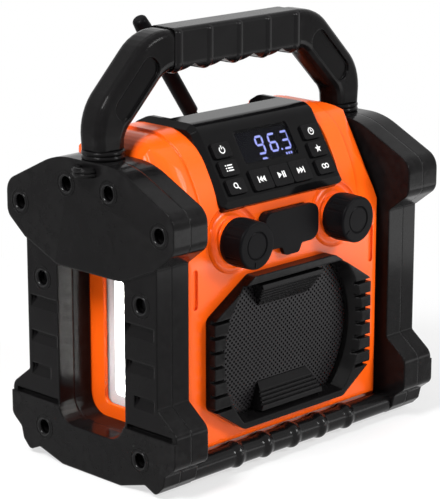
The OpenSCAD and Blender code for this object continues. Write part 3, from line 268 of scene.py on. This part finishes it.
# %% Moulded and metal finishes
orange = finish("orange shell", (0.95, 0.112, 0.005), 0.20, grain=0.5, depth=0.06, smear=0.05, dust=0.01,
                pale=(0.95, 0.45, 0.25), edge=1.2, Specular_IOR_Level=0.22)
black = finish("black guard", (0.0034, 0.0031, 0.0033), 0.14, grain=0.7, depth=0.07, smear=0.03, dust=0.006,
               wear=0.012, edge=1.6, Specular_IOR_Level=0.070)
bar_black = finish("bar black", (0.0045, 0.0042, 0.0044), 0.18, grain=0.8, depth=0.06, smear=0.03,
                   dust=0.006, Specular_IOR_Level=0.12)
rubber = finish("soft rubber", (0.0028, 0.0026, 0.0031), 0.36, grain=0.9, depth=0.25, smear=0.04,
                dust=0.006, edge=0.5, Specular_IOR_Level=0.035)
grip_rubber = finish("grip rubber", (0.0045, 0.0042, 0.0045), 0.22, grain=0.8, depth=0.12, smear=0.04,
                     dust=0.008, edge=0.8, Specular_IOR_Level=0.09)
gloss = finish("gloss panel", (0.0022, 0.0021, 0.0024), 0.12, grain=0.4, depth=0.02, smear=0.03, dust=0.003,
               edge=1.0, Specular_IOR_Level=0.06, Coat_Weight=0.06, Coat_Roughness=0.05)
key_black = finish("key cap", (0.0040, 0.0038, 0.0042), 0.26, grain=0.5, depth=0.10, smear=0.03, dust=0.006,
                   Specular_IOR_Level=0.06)
steel = finish("zinc steel", (0.5, 0.5, 0.51), 0.32, grain=0.4, depth=0.2, dust=0.0, Metallic=1.0)
dark_steel = finish("blackened screw", (0.03, 0.03, 0.032), 0.35, grain=0.4, depth=0.2, dust=0.0,
                    Metallic=1.0)
lip_black = finish("polished lip", (0.0030, 0.0028, 0.0031), 0.08, grain=0.8, depth=0.02, smear=0.03,
                   dust=0.0, Specular_IOR_Level=0.16)
mesh_paint = finish("coated mesh", (0.011, 0.010, 0.011), 0.30, grain=0.3, depth=0.2, dust=0.0,
                    Specular_IOR_Level=0.15)
print("outside finishes:", len(bpy.data.materials))

# %% Finishes of hidden pieces
circuit = finish("circuit board", (0.01, 0.12, 0.03), 0.35, grain=0.5, depth=0.1)
paper = finish("cone paper", (0.006, 0.006, 0.006), 0.8, grain=1.2, depth=0.8, Specular_IOR_Level=0.1)
white = finish("white reflector", (0.85, 0.85, 0.86), 0.25, grain=0.5, depth=0.05, dust=0.0)
wrap = finish("battery wrap", (0.03, 0.09, 0.3), 0.3, grain=0.5, depth=0.05)
silicone = finish("silicone mat", (0.35, 0.35, 0.36), 0.6, grain=0.6, depth=0.1)
display_dark = finish("display ground", (0.0008, 0.0009, 0.0028), 0.3, depth=0.02, Specular_IOR_Level=0.02)
legend = finish("legend paint", (0.82, 0.82, 0.82), 0.5, grain=0.4, depth=0.1, dust=0.0)
print("all moulded finishes:", len(bpy.data.materials))

# %% [markdown]
# ## Clear and lit finishes
# The lamp's lens is a clear plate, and the window over the display is a thin smoked sheet. Both could be
# glass that bends light. The thick lens is made so, but the thin window only needs to darken what lies
# behind it, and a low Alpha does that with less noise. Diodes and display segments give light themselves.

# %% Clear finishes
POLISHED_SMEAR = 26.0    # mm across one smear on a clear piece


def polish(tree, shader, amount, rough):
    """Faint smears on a clear surface."""
    marks = use_group(tree, handling_group, Smear_size=POLISHED_SMEAR, Amount=amount)
    wire(tree, calc(tree, "ADD", marks.outputs["Smear"], rough), shader.inputs["Roughness"])


def clear(name, colour):
    made, tree, shader = start_material(name, colour)
    shader.inputs["Transmission Weight"].default_value = 1.0
    shader.inputs["Specular IOR Level"].default_value = 0.3
    shader.inputs["IOR"].default_value = 1.3
    polish(tree, shader, amount=0.05, rough=0.03)
    return made


def smoked(name, colour, cover):
    made, tree, shader = start_material(name, colour)
    shader.inputs["Alpha"].default_value = cover
    shader.inputs["Specular IOR Level"].default_value = 0.25
    polish(tree, shader, amount=0.08, rough=0.05)
    return made


window_glass = smoked("tinted window", (0.002, 0.002, 0.004), 0.12)
lens_glass = clear("lamp lens", (1, 1, 1))
print("clear:", window_glass.name, lens_glass.name)


# %% Lit finishes
GLOW_PATCH = 2.5    # mm across one patch of slightly weaker light
GLOW_DIP = 0.9      # share of the light that is left in such a patch


def lit(name, colour, strength, base=(0.8, 0.8, 0.8)):
    made, tree, shader = start_material(name, base)
    shader.inputs["Emission Strength"].default_value = strength
    flicker = use_group(tree, grain_group, Grain_size=GLOW_PATCH, Depth=1.0)
    tint = two_colours(tree, colour, [c * GLOW_DIP for c in colour])
    wire(tree, flicker.outputs["Height"], tint.inputs["Factor"])
    wire(tree, tint.outputs["Result"], shader.inputs["Emission Color"])
    return made


diode = lit("lit diode", (1.0, 0.98, 0.94), 18.0)
diode_board = lit("lit lamp board", (1.0, 0.99, 0.97), 3.0)
digit_light = lit("display digit", (0.28, 0.33, 1.0), 1.3, base=(0.1, 0.1, 0.1))
print("materials:", len(bpy.data.materials))

# %% [markdown]
# ## Rounded edges on the rigid pieces
# Moulded parts have no knife edges. They could be rounded by hand in the mesh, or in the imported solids.
# A Bevel modifier does it for every edge that turns sharply, after a planar dissolve has joined the
# triangles of each flat face, and Weighted Normal keeps the flats flat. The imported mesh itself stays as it
# is, because modifiers only act when the scene is drawn.

# %% Soft edges
FLAT_ANGLE = 0.6     # degrees, faces that differ by less are one flat
SHARP_ANGLE = 28     # degrees, edges that turn by more are rounded


def soften(piece, width, segments=3):
    """Rounds the sharp edges of a piece by width mm. With no width it only evens the shading."""
    if width > 0:
        flat = piece.modifiers.new("join flats", "DECIMATE")
        flat.decimate_type = "DISSOLVE"
        flat.angle_limit = math.radians(FLAT_ANGLE)
        bevel = piece.modifiers.new("round edges", "BEVEL")
        bevel.width = width * MM
        bevel.segments = segments
        bevel.limit_method = "ANGLE"
        bevel.angle_limit = math.radians(SHARP_ANGLE)
        bevel.miter_outer = "MITER_ARC"
        bevel.use_clamp_overlap = True
    normals = piece.modifiers.new("even normals", "WEIGHTED_NORMAL")
    normals.keep_sharp = False
    normals.weight = 80
    for face in piece.data.polygons:
        face.use_smooth = True


def dress(names, material, width=0.0, segments=3):
    for name in names.split():
        piece = nodes[name]
        piece.data.materials.clear()
        piece.data.materials.append(material)
        soften(piece, width, segments)


print("edges that turn by more than", SHARP_ANGLE, "degrees are rounded")

# %% Dress the outside
dress("front_shell rear_shell lamp_surround", orange, 1.0)
dress("left_guard_outer left_guard_inner right_guard_outer right_guard_inner", black, 2.2, 4)
dress("strap_eyelets handle_collars", black, 0.4)
dress("grille_frame", black, 0.7)
dress("antenna_bracket antenna_knuckle antenna_clip battery_door", black, 0.4)
dress("port_tray aux_socket dc_socket", black, 0.4)
dress("left_handle_arm right_handle_arm", black)
dress("front_bar rear_bar", bar_black)
dress("rubber_feet port_cover", rubber, 0.8)
dress("volume_knob tuning_knob", rubber, 0.35)
dress("handle_grip", grip_rubber, 0.6)
dress("antenna_whip", rubber)
dress("upper_tread_bar lower_tread_bar", grip_rubber, 0.3)
dress("control_panel", gloss, 0.5)
dress("key_power key_mode key_scan key_clock key_preset key_pair", key_black, 0.45)
dress("key_previous key_play key_next", key_black, 0.45)
dress("display_window", window_glass)
print("dressed", sum(1 for n in nodes.values() if n.modifiers), "outside nodes")

# %% Dress the inside
dress("display_module", display_dark, 0.2)
dress("keypad_mat", silicone)
dress("main_board control_board", circuit)
dress("handle_tube hinge_pins volume_shaft tuning_shaft usb_socket encoders", steel)
dress("guard_screws shell_screws speaker_basket speaker_magnet", dark_steel)
dress("speaker_cone", paper)
dress("lamp_reflector", white)
dress("lamp_lens", lens_glass)
dress("lamp_board", diode_board)
dress("battery_pack", wrap)
print("dressed", sum(1 for n in nodes.values() if n.data.materials), "nodes")

# %% [markdown]
# ## Small pieces made in mesh code
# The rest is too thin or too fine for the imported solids: printed marks, lit segments, the holes of the
# grille, ridges of rubber. They could be drawn by hand in Edit Mode, but their points follow from a few
# sizes, so code places them exactly. One helper makes a mesh piece, gives it its finish and lets it ride
# on a body.

# %% Mesh piece helper
def make_piece(name, points, faces, material, body="radio", smooth=False):
    mesh = bpy.data.meshes.new(name)
    mesh.from_pydata(points, [], faces)
    mesh.materials.append(material)
    for face in mesh.polygons:
        face.use_smooth = smooth
    piece = bpy.data.objects.new(name, mesh)
    bpy.context.scene.collection.objects.link(piece)
    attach(piece, body)
    return piece


def prisms(outlines, place, low, high):
    """Flat prisms from 2-D outlines in mm, stood between two heights by place(x, y, height)."""
    points = []
    faces = []
    for outline in outlines:
        base = len(points)
        count = len(outline)
        points += [place(x, y, low) for x, y in outline] + [place(x, y, high) for x, y in outline]
        faces.append([base + count + i for i in range(count)])
        faces.append([base + i for i in reversed(range(count))])
        faces += [[base + i, base + (i + 1) % count, base + count + (i + 1) % count, base + count + i]
                  for i in range(count)]
    return points, faces


print("piece helpers: make_piece, prisms")

# %% [markdown]
# ## The lamp's diodes
# The lamp is a board of white diodes behind a clear lens. Each diode could be a piece of its own, but the
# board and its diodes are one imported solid, so it is simpler to give the faces that stand in front of the
# board a second, much brighter finish.

# %% Light the diodes
DIODE_RISE = 0.6    # mm of each diode that is lit


def light_diodes():
    board = nodes["lamp_board"].data
    board.materials.append(diode)
    front = min(v.co.x for v in board.vertices)
    lit_faces = 0
    for face in board.polygons:
        if face.center.x < front + DIODE_RISE * MM:
            face.material_index = 1
            lit_faces += 1
    return lit_faces


print("lit faces:", light_diodes())

# %% [markdown]
# ## Marks on the keys and the display
# Each key carries a printed mark, and the display shows lit segments. Both could be an image laid over the
# face. Thin flat pieces stay sharp at any distance instead, and they ride on the body named for their key.
# The press direction of a key in the record gives the panel's lean, so the marks follow it. Plain pictures
# stand in for words.

# %% Places on the leaning panel
press = Vector(next(j for j in frame["joints"] if j["name"] == "key_power_press")["axis"]).normalized()
OUTWARD = -press
ACROSS = Vector((1, 0, 0))
UP_FACE = OUTWARD.cross(ACROSS).normalized()


def face_of(node):
    """A function that turns (x, y, height) in mm into a point on the node's outward face."""
    spots = [v.co for v in nodes[node].data.vertices]
    reach = [[s.dot(d) for s in spots] for d in (ACROSS, UP_FACE, OUTWARD)]
    middle = [(min(r) + max(r)) / 2 for r in reach[:2]] + [max(reach[2])]
    corner = ACROSS * middle[0] + UP_FACE * middle[1] + OUTWARD * middle[2]
    return lambda x, y, height: corner + (ACROSS * x + UP_FACE * y + OUTWARD * height) * MM


print("panel leans", round(math.degrees(math.asin(OUTWARD.z)), 1), "degrees")

# %% Shapes for the marks
def bar(x0, y0, x1, y1):
    return [(x0, y0), (x1, y0), (x1, y1), (x0, y1)]


def turned(shape, degrees, x=0.0, y=0.0):
    c, s = math.cos(math.radians(degrees)), math.sin(math.radians(degrees))
    return [(x + px * c - py * s, y + px * s + py * c) for px, py in shape]


def arc(inner, outer, start, stop, x=0.0, y=0.0, steps=12):
    """A ring sector as a row of four-sided shapes."""
    angles = [math.radians(start + (stop - start) * k / steps) for k in range(steps + 1)]
    edge = [[(x + r * math.cos(a), y + r * math.sin(a)) for a in angles] for r in (inner, outer)]
    return [[edge[0][k], edge[1][k], edge[1][k + 1], edge[0][k + 1]] for k in range(steps)]


def arrow(x, width, height):
    return [(x, -height / 2), (x + width, 0.0), (x, height / 2)][::1 if width > 0 else -1]


def star(tip, notch):
    reach = [(tip if k % 2 == 0 else notch, math.pi * k / 5) for k in reversed(range(10))]
    return [(r * math.sin(a), r * math.cos(a)) for r, a in reach]


print("shapes: bar, turned, arc, arrow, star")

# %% Marks on the keys
# Lengths are in mm from the middle of the key's face, and angles are in degrees.
MARK_THICK = 0.06
ROWS = (-2.2, -0.4, 1.4)
MARKS = {
    "key_power": arc(1.9, 2.6, 125, 415, steps=14) + [bar(-0.35, 0.5, 0.35, 3.1)],
    "key_mode": [bar(x0, y, x1, y + 0.8) for y in ROWS for x0, x1 in ((-3.2, -2.2), (-1.4, 3.2))],
    "key_scan": arc(1.3, 2.0, 0, 360, -0.6, 0.5, 14) + [turned(bar(1.9, -0.4, 4.1, 0.4), -45, -0.6, 0.5)],
    "key_clock": arc(2.0, 2.6, 0, 360, steps=16) + [bar(-0.3, -0.3, 0.3, 1.6), bar(0.3, -0.3, 1.3, 0.3)],
    "key_preset": [star(2.9, 1.2)],
    "key_pair": arc(1.1, 1.8, 0, 360, -1.5) + arc(1.1, 1.8, 0, 360, 1.5),
    "key_previous": [bar(-3.4, -2.2, -2.6, 2.2), arrow(0.4, -2.8, 4.4), arrow(3.2, -2.8, 4.4)],
    "key_play": [arrow(-3.2, 3.4, 4.4), bar(0.9, -2.2, 1.9, 2.2), bar(2.6, -2.2, 3.6, 2.2)],
    "key_next": [bar(2.6, -2.2, 3.4, 2.2), arrow(-0.4, 2.8, 4.4), arrow(-3.2, 2.8, 4.4)],
}


def body_of_key(node):
    return next(name for name, held in frame["record"]["behaviour"]["bodies"].items() if node in held)


for node, shapes in MARKS.items():
    points, faces = prisms(shapes, face_of(node), 0.0, MARK_THICK)
    make_piece("mark_" + node, points, faces, legend, body_of_key(node))
print("marked", len(MARKS), "keys")

# %% Lit segments of the display
DIGIT_W, DIGIT_H, STROKE, SLANT = 7.6, 13.2, 1.5, 0.09
SPARE = 1.1    # strokes that a segment is shorter than its side of the digit
DIGIT_X = (-3.6, 8.4, 20.4)
SEGMENTS = {
    "a": (0, 1, "flat"), "g": (0, 0, "flat"), "d": (0, -1, "flat"),
    "f": (-1, 0.5, "up"), "b": (1, 0.5, "up"), "e": (-1, -0.5, "up"), "c": (1, -0.5, "up"),
}
SHOWN = ("abcdfg", "acdefg", "abcdg")
DECIMAL_POINT = (13.6, -6.4, 14.9, -5.1)
SIGNAL_BAR, SIGNAL_STEP = (16.2, -11.2, 17.4, -8.4), 2.2
BATTERY_SIGN = ((-6.0, -11.0, -2.2, -8.8), (-2.2, -10.4, -1.6, -9.4))
SEGMENT_LOW, SEGMENT_HIGH = 0.1, 0.3


def segment(name):
    side, level, way = SEGMENTS[name]
    length = (DIGIT_W if way == "flat" else DIGIT_H / 2) - STROKE * SPARE
    half, thick = length / 2, STROKE / 2
    corner = half - thick
    shape = [(-half, 0), (-corner, -thick), (corner, -thick), (half, 0), (corner, thick), (-corner, thick)]
    if way == "up":
        shape = turned(shape, 90)
    x, y = side * (DIGIT_W - STROKE) / 2, level * (DIGIT_H - STROKE) / 2
    return [(x + px + (y + py) * SLANT, y + py) for px, py in shape]


def display_shapes():
    shapes = []
    for digit_x, names in zip(DIGIT_X, SHOWN):
        shapes += [[(digit_x + x, y) for x, y in segment(name)] for name in names]
    shapes.append(bar(*DECIMAL_POINT))
    x0, y0, x1, y1 = SIGNAL_BAR
    shapes += [bar(x0 + k * SIGNAL_STEP, y0, x1 + k * SIGNAL_STEP, y1) for k in range(3)]
    return shapes + [bar(*sign) for sign in BATTERY_SIGN]


points, faces = prisms(display_shapes(), face_of("display_module"), SEGMENT_LOW, SEGMENT_HIGH)
make_piece("lit_segments", points, faces, digit_light)
print("segments:", len(display_shapes()))

# %% [markdown]
# ## The perforated grille sheet
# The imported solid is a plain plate. The real sheet is punched with 1.7 mm holes, staggered at 45 degrees.
# Cutting fifteen hundred holes with booleans would be slow, so each hole is one diamond-shaped tile with
# an eight-sided opening, and the tiles share their borders. Points past the rim are pulled back onto it.

# %% One tile of the sheet
HOLE_R, TILE = 0.86, 1.88
CORNERS = 8
SPILL = 1.2    # mm that a tile's middle may lie past the rim


def rim_clamp(x, z, radius, half_height):
    z = max(-half_height, min(half_height, z))
    far = math.hypot(x, z)
    if far > radius:
        x, z = x * radius / far, z * radius / far
    return x, z


def tile_outline():
    half = TILE / 2
    outer = [(TILE, 0), (half, half), (0, TILE), (-half, half), (-TILE, 0), (-half, -half), (0, -TILE),
             (half, -half)]
    turns = [math.tau * k / CORNERS for k in range(CORNERS)]
    return outer, [(HOLE_R * math.cos(a), HOLE_R * math.sin(a)) for a in turns]


print("tiles", TILE, "mm apart, holes", 2 * HOLE_R, "mm wide")


# %% The whole sheet
def punched_sheet():
    low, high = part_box("grille_mesh")
    middle = [(a + b) / 2 / MM for a, b in zip(low, high)]
    radius, half_height = (high[0] - low[0]) / 2 / MM, (high[2] - low[2]) / 2 / MM
    outer, inner = tile_outline()
    points, faces, tiles = [], [], 0
    rows = int(radius / TILE) + 1
    for i in range(-rows, rows + 1):
        for j in range(-rows, rows + 1):
            cx, cz = i * TILE, j * TILE
            if (i + j) % 2 or math.hypot(cx, cz) > radius + SPILL or abs(cz) > half_height + SPILL:
                continue
            rim, hole, back_rim, back_hole = (len(points) + CORNERS * k for k in range(4))
            for y in (low[1], high[1]):
                for x, z in outer + inner:
                    x, z = rim_clamp(cx + x, cz + z, radius, half_height)
                    points.append(((middle[0] + x) * MM, y, (middle[2] + z) * MM))
            for k in range(CORNERS):
                n = (k + 1) % CORNERS
                faces.append([rim + k, rim + n, hole + n, hole + k])
                faces.append([back_rim + n, back_rim + k, back_hole + k, back_hole + n])
                faces.append([hole + k, hole + n, back_hole + n, back_hole + k])
            tiles += 1
    return points, faces, tiles


points, faces, tiles = punched_sheet()
sheet = make_piece("punched_sheet", points, faces, mesh_paint)
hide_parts("grille_mesh")
print("punched", tiles, "holes")

# %% [markdown]
# ## Rings and ridges
# Each screw sits in a deep round recess with a raised lip, and the rubber grip has five hoops under the
# fingers. A torus could give the lip, and a curve with a profile could give both. Here code carries a small
# profile round a circle or along the grip, because a hoop has to fade out towards the grip's flat top.

# %% Sweep and ring helpers
RING_STEPS = 48


def sweep_piece(name, points, rings, across, material, closed=True):
    """Skins a row of sections that have across points each."""
    faces = []
    for k in range(rings if closed else rings - 1):
        for m in range(across):
            a, b = k * across + m, k * across + (m + 1) % across
            c, d = (k + 1) % rings * across + m, (k + 1) % rings * across + (m + 1) % across
            faces.append([a, b, d, c])
    if not closed:
        faces.append(list(range(across)))
        faces.append([(rings - 1) * across + m for m in reversed(range(across))])
    return make_piece(name, points, faces, material, smooth=True)


def ring(name, centre, radius, profile, material):
    """Sweeps a profile [(out, along)] in mm round an axis along X. Along points away from the middle."""
    side = 1 if centre[0] > 0 else -1
    points = []
    for k in range(RING_STEPS):
        c, s = math.cos(2 * math.pi * k / RING_STEPS), math.sin(2 * math.pi * k / RING_STEPS)
        for out, along in profile:
            r = (radius + out) * MM
            points.append((centre[0] + side * along * MM, centre[1] + r * c, centre[2] + r * s))
    return sweep_piece(name, points, RING_STEPS, len(profile), material)


print("a ring has", RING_STEPS, "sections")


# %% Places of the guard screws
def islands(mesh):
    """The middles of a mesh's separate solids."""
    parent = list(range(len(mesh.vertices)))

    def root(i):
        while parent[i] != i:
            parent[i] = parent[parent[i]]
            i = parent[i]
        return i

    welded = {}
    for v in mesh.vertices:
        key = tuple(round(c, 6) for c in v.co)
        parent[root(v.index)] = root(welded.setdefault(key, v.index))
    for edge in mesh.edges:
        parent[root(edge.vertices[0])] = root(edge.vertices[1])
    groups = {}
    for v in mesh.vertices:
        groups.setdefault(root(v.index), []).append(v.co)
    return [sum(group, Vector()) / len(group) for group in groups.values()]


screws = islands(nodes["guard_screws"].data)
print("guard screws:", len(screws))

# %% Lips of the screw recesses
RECESS_R, RIM_R = 5.0, 7.6    # mm
LIP = [(-0.6, -2.4), (-0.5, -1.0), (-0.2, -0.2), (0.25, 0.3),
       (0.7, 0.5), (1.1, 0.4), (1.4, 0.1), (1.5, -0.3)]
RIM = [(-0.2, -0.3), (0.0, 0.05), (0.4, 0.25), (0.8, 0.2), (1.1, -0.3)]
PROBE_X, PROBE_UP = 200, 7    # mm, a ray to the guard's face starts this far out and above the screw


def recess_lips():
    for index, screw in enumerate(screws):
        side = 1 if screw.x > 0 else -1
        guard = nodes["right_guard_outer" if side > 0 else "left_guard_outer"]
        start = Vector((side * PROBE_X * MM, screw.y, screw.z + PROBE_UP * MM))
        _, spot, _, _ = guard.ray_cast(start, Vector((-side, 0, 0)))
        centre = (spot.x, screw.y, screw.z)
        ring(f"recess_lip_{index}", centre, RECESS_R, LIP, lip_black)
        ring(f"recess_rim_{index}", centre, RIM_R, RIM, black)


recess_lips()
print("lips round", len(screws), "recesses")

# %% Section of a hoop
HOOP_PITCH, HOOP_W, HOOP_RISE = 27.3, 8.0, 1.0
HOOP_STATIONS = 11
GRIP_TOP_R, GRIP_LOW_R = 3.5, 7.0
CORNER_STEPS = 8
SUNK = 0.15
FADE_FROM, FADE_RATE = 1.25, 1.5    # a hoop fades out towards the grip's flat top


def grip_section(grow, low_z, high_z, half_depth):
    """Section of the grip in Y and Z, grown outward by grow mm on its sides and its underside only."""
    points = []
    corners = ((1, 1, 0, GRIP_TOP_R), (-1, 1, 90, GRIP_TOP_R),
               (-1, -1, 180, GRIP_LOW_R), (1, -1, 270, GRIP_LOW_R))
    for cy, cz, start, r in corners:
        for step in range(CORNER_STEPS + 1):
            a = math.radians(start + step * 90 / CORNER_STEPS)
            rise = grow * min(1.0, max(0.0, FADE_FROM - FADE_RATE * math.sin(a))) - SUNK
            y = cy * (half_depth - r) + (r + rise) * math.cos(a)
            z = (high_z - r if cz > 0 else low_z + r) + (r + rise) * math.sin(a)
            points.append((y, z))
    return points


print("a hoop rises", HOOP_RISE, "mm")


# %% Hoops of the grip
def hoop(index, low, high):
    points = []
    for k in range(HOOP_STATIONS):
        t = 2 * k / (HOOP_STATIONS - 1) - 1
        x = index * HOOP_PITCH + t * HOOP_W / 2
        grow = HOOP_RISE * math.cos(t * math.pi / 2) ** 2
        section = grip_section(grow, low[2] / MM, high[2] / MM, (high[1] - low[1]) / 2 / MM)
        points += [(x * MM, y * MM, z * MM) for y, z in section]
    name = f"grip_hoop_{index + 3}"
    sweep_piece(name, points, HOOP_STATIONS, len(section), grip_rubber, closed=False)


grip_low, grip_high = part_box("handle_grip")
for index in (-2, -1, 0, 1, 2):
    hoop(index, grip_low, grip_high)
print("hoops on a grip of", round((grip_high[0] - grip_low[0]) / MM, 1), "mm")

# %% [markdown]
# ## Pointers on the knobs
# Each knob has a small raised pointer near the rim of its face, so that a hand in a glove can find it. It
# could be part of the imported solid, but it is so fine that a slim bar laid on the face does as well. It
# rides on the body named for its knob.

# %% Knob pointers
# Lengths are in mm, FROM and TO are measured from the knob's axis, and EDGE is the rounding.
POINTER_FROM, POINTER_TO = 10.6, 14.2
POINTER_HALF, POINTER_RISE = 0.45, 0.45
POINTER_SUNK, POINTER_EDGE = 0.1, 0.15


def pointer(knob, body, degrees):
    low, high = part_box(knob)
    middle = [(a + b) / 2 for a, b in zip(low, high)]

    def place(x, z, height):
        return (middle[0] + x * MM, low[1] - height * MM, middle[2] + z * MM)

    shape = bar(POINTER_FROM, -POINTER_HALF, POINTER_TO, POINTER_HALF)
    points, faces = prisms([turned(shape, degrees)], place, -POINTER_SUNK, POINTER_RISE)
    piece = make_piece("pointer_" + body, points, faces, rubber, body)
    soften(piece, POINTER_EDGE, 2)


pointer("volume_knob", "volume", 262)
pointer("tuning_knob", "tuning", 215)
print("pointers on 2 knobs")

# %% [markdown]
# ## Camera, floor and light
# A long lens from the front left and a little above keeps the uprights nearly parallel. The studio could
# have a curved backdrop. A flat pale floor and a white world do as well, because both show white to the
# camera and in reflections. Only a part of that white lights the radio, so its shadow stays on the floor.

# %% Camera
LOOK_AT = Vector((-6.5, 0.0, 129.06)) * MM
AZIMUTH = math.radians(-45.302)
ELEVATION = math.radians(14.83)
DISTANCE = 1424.2 * MM
LENS, SENSOR = 153.2, 36    # mm


def place_camera():
    towards = Vector((math.sin(AZIMUTH) * math.cos(ELEVATION), -math.cos(AZIMUTH) * math.cos(ELEVATION),
                      math.sin(ELEVATION)))
    camera = bpy.data.objects.new("camera", bpy.data.cameras.new("camera"))
    camera.location = LOOK_AT + towards * DISTANCE
    camera.rotation_euler = (-towards).to_track_quat("-Z", "Y").to_euler()
    camera.data.lens = LENS
    camera.data.sensor_width = SENSOR
    bpy.context.scene.collection.objects.link(camera)
    bpy.context.scene.camera = camera


place_camera()
print("camera at", [round(c, 3) for c in bpy.context.scene.camera.location])


# %% Floor
def seen_directly(tree):
    """1 for the camera, for reflections and through glass, and 0 for the light that falls on things."""
    path = add(tree, "LightPath")
    through = calc(tree, "MAXIMUM", path.outputs["Is Glossy Ray"], path.outputs["Is Transmission Ray"])
    return calc(tree, "MAXIMUM", path.outputs["Is Camera Ray"], through)


FLOOR_REACH = 6.0    # metres to each side of the radio


def make_floor(near=0.16, far=0.5, glow_near=0.62):
    """A pale floor that the camera sees fade to plain white between near and far metres from the radio."""
    mesh = bpy.data.meshes.new("floor")
    corners = bar(-FLOOR_REACH, -FLOOR_REACH, FLOOR_REACH, FLOOR_REACH)
    mesh.from_pydata([(x, y, 0) for x, y in corners], [], [(0, 1, 2, 3)])
    floor = bpy.data.objects.new("floor", mesh)
    bpy.context.scene.collection.objects.link(floor)
    made, tree, shader = start_material("pale floor", (0.93, 0.93, 0.93))
    shader.inputs["Roughness"].default_value = 0.9
    glow = add(tree, "Emission", Strength=1.0)
    away = add(tree, "VectorMath", operation="LENGTH")
    wire(tree, add(tree, "TexCoord").outputs["Object"], away.inputs[0])
    distance = ramp(tree, away.outputs["Value"], near, far, glow_near)
    blend = add(tree, "MixShader")
    wire(tree, calc(tree, "MULTIPLY", seen_directly(tree), distance), blend.inputs["Fac"])
    wire(tree, shader.outputs["BSDF"], blend.inputs[1])
    wire(tree, glow.outputs["Emission"], blend.inputs[2])
    wire(tree, blend.outputs["Shader"], tree.nodes["Material Output"].inputs["Surface"])
    mesh.materials.append(made)


make_floor()
print("floor reaches", FLOOR_REACH, "m to each side")


# %% World
def make_world(level=0.28):
    """White where it is seen, and only as bright as level where it lights things."""
    world = bpy.data.worlds.new("studio")
    world.use_nodes = True
    tree = world.node_tree
    ground = tree.nodes["Background"]
    wire(tree, ramp(tree, seen_directly(tree), 0.0, 1.0, level, 1.0), ground.inputs["Strength"])
    ground.inputs["Color"].default_value = (1, 1, 1, 1)
    bpy.context.scene.world = world


make_world()
print("world:", bpy.context.scene.world.name)


# %% Lamps
def area_light(name, place, target, size, power):
    """A softbox at place, turned to target. Lengths are in metres and power is in watts."""
    lamp = bpy.data.lights.new(name, "AREA")
    lamp.shape = "RECTANGLE"
    lamp.size, lamp.size_y = size
    lamp.energy = power
    made = bpy.data.objects.new(name, lamp)
    made.location = place
    made.rotation_euler = (Vector(target) - Vector(place)).to_track_quat("-Z", "Y").to_euler()
    bpy.context.scene.collection.objects.link(made)


area_light("key softbox", (0.75, -1.45, 1.0), (0, 0, 0.12), (0.45, 0.45), 20)
area_light("upper left softbox", (-1.1, -0.1, 1.35), (0, 0, 0.15), (0.56, 0.56), 32)
area_light("low front softbox", (0.30, -0.38, 0.045), (0.0, 0.0, 0.045), (0.5, 0.08), 0.4)
area_light("top softbox", (0.1, 0.3, 1.6), (0, 0, 0.1), (0.8, 0.8), 1.5)
bpy.context.scene.view_settings.view_transform = "Standard"
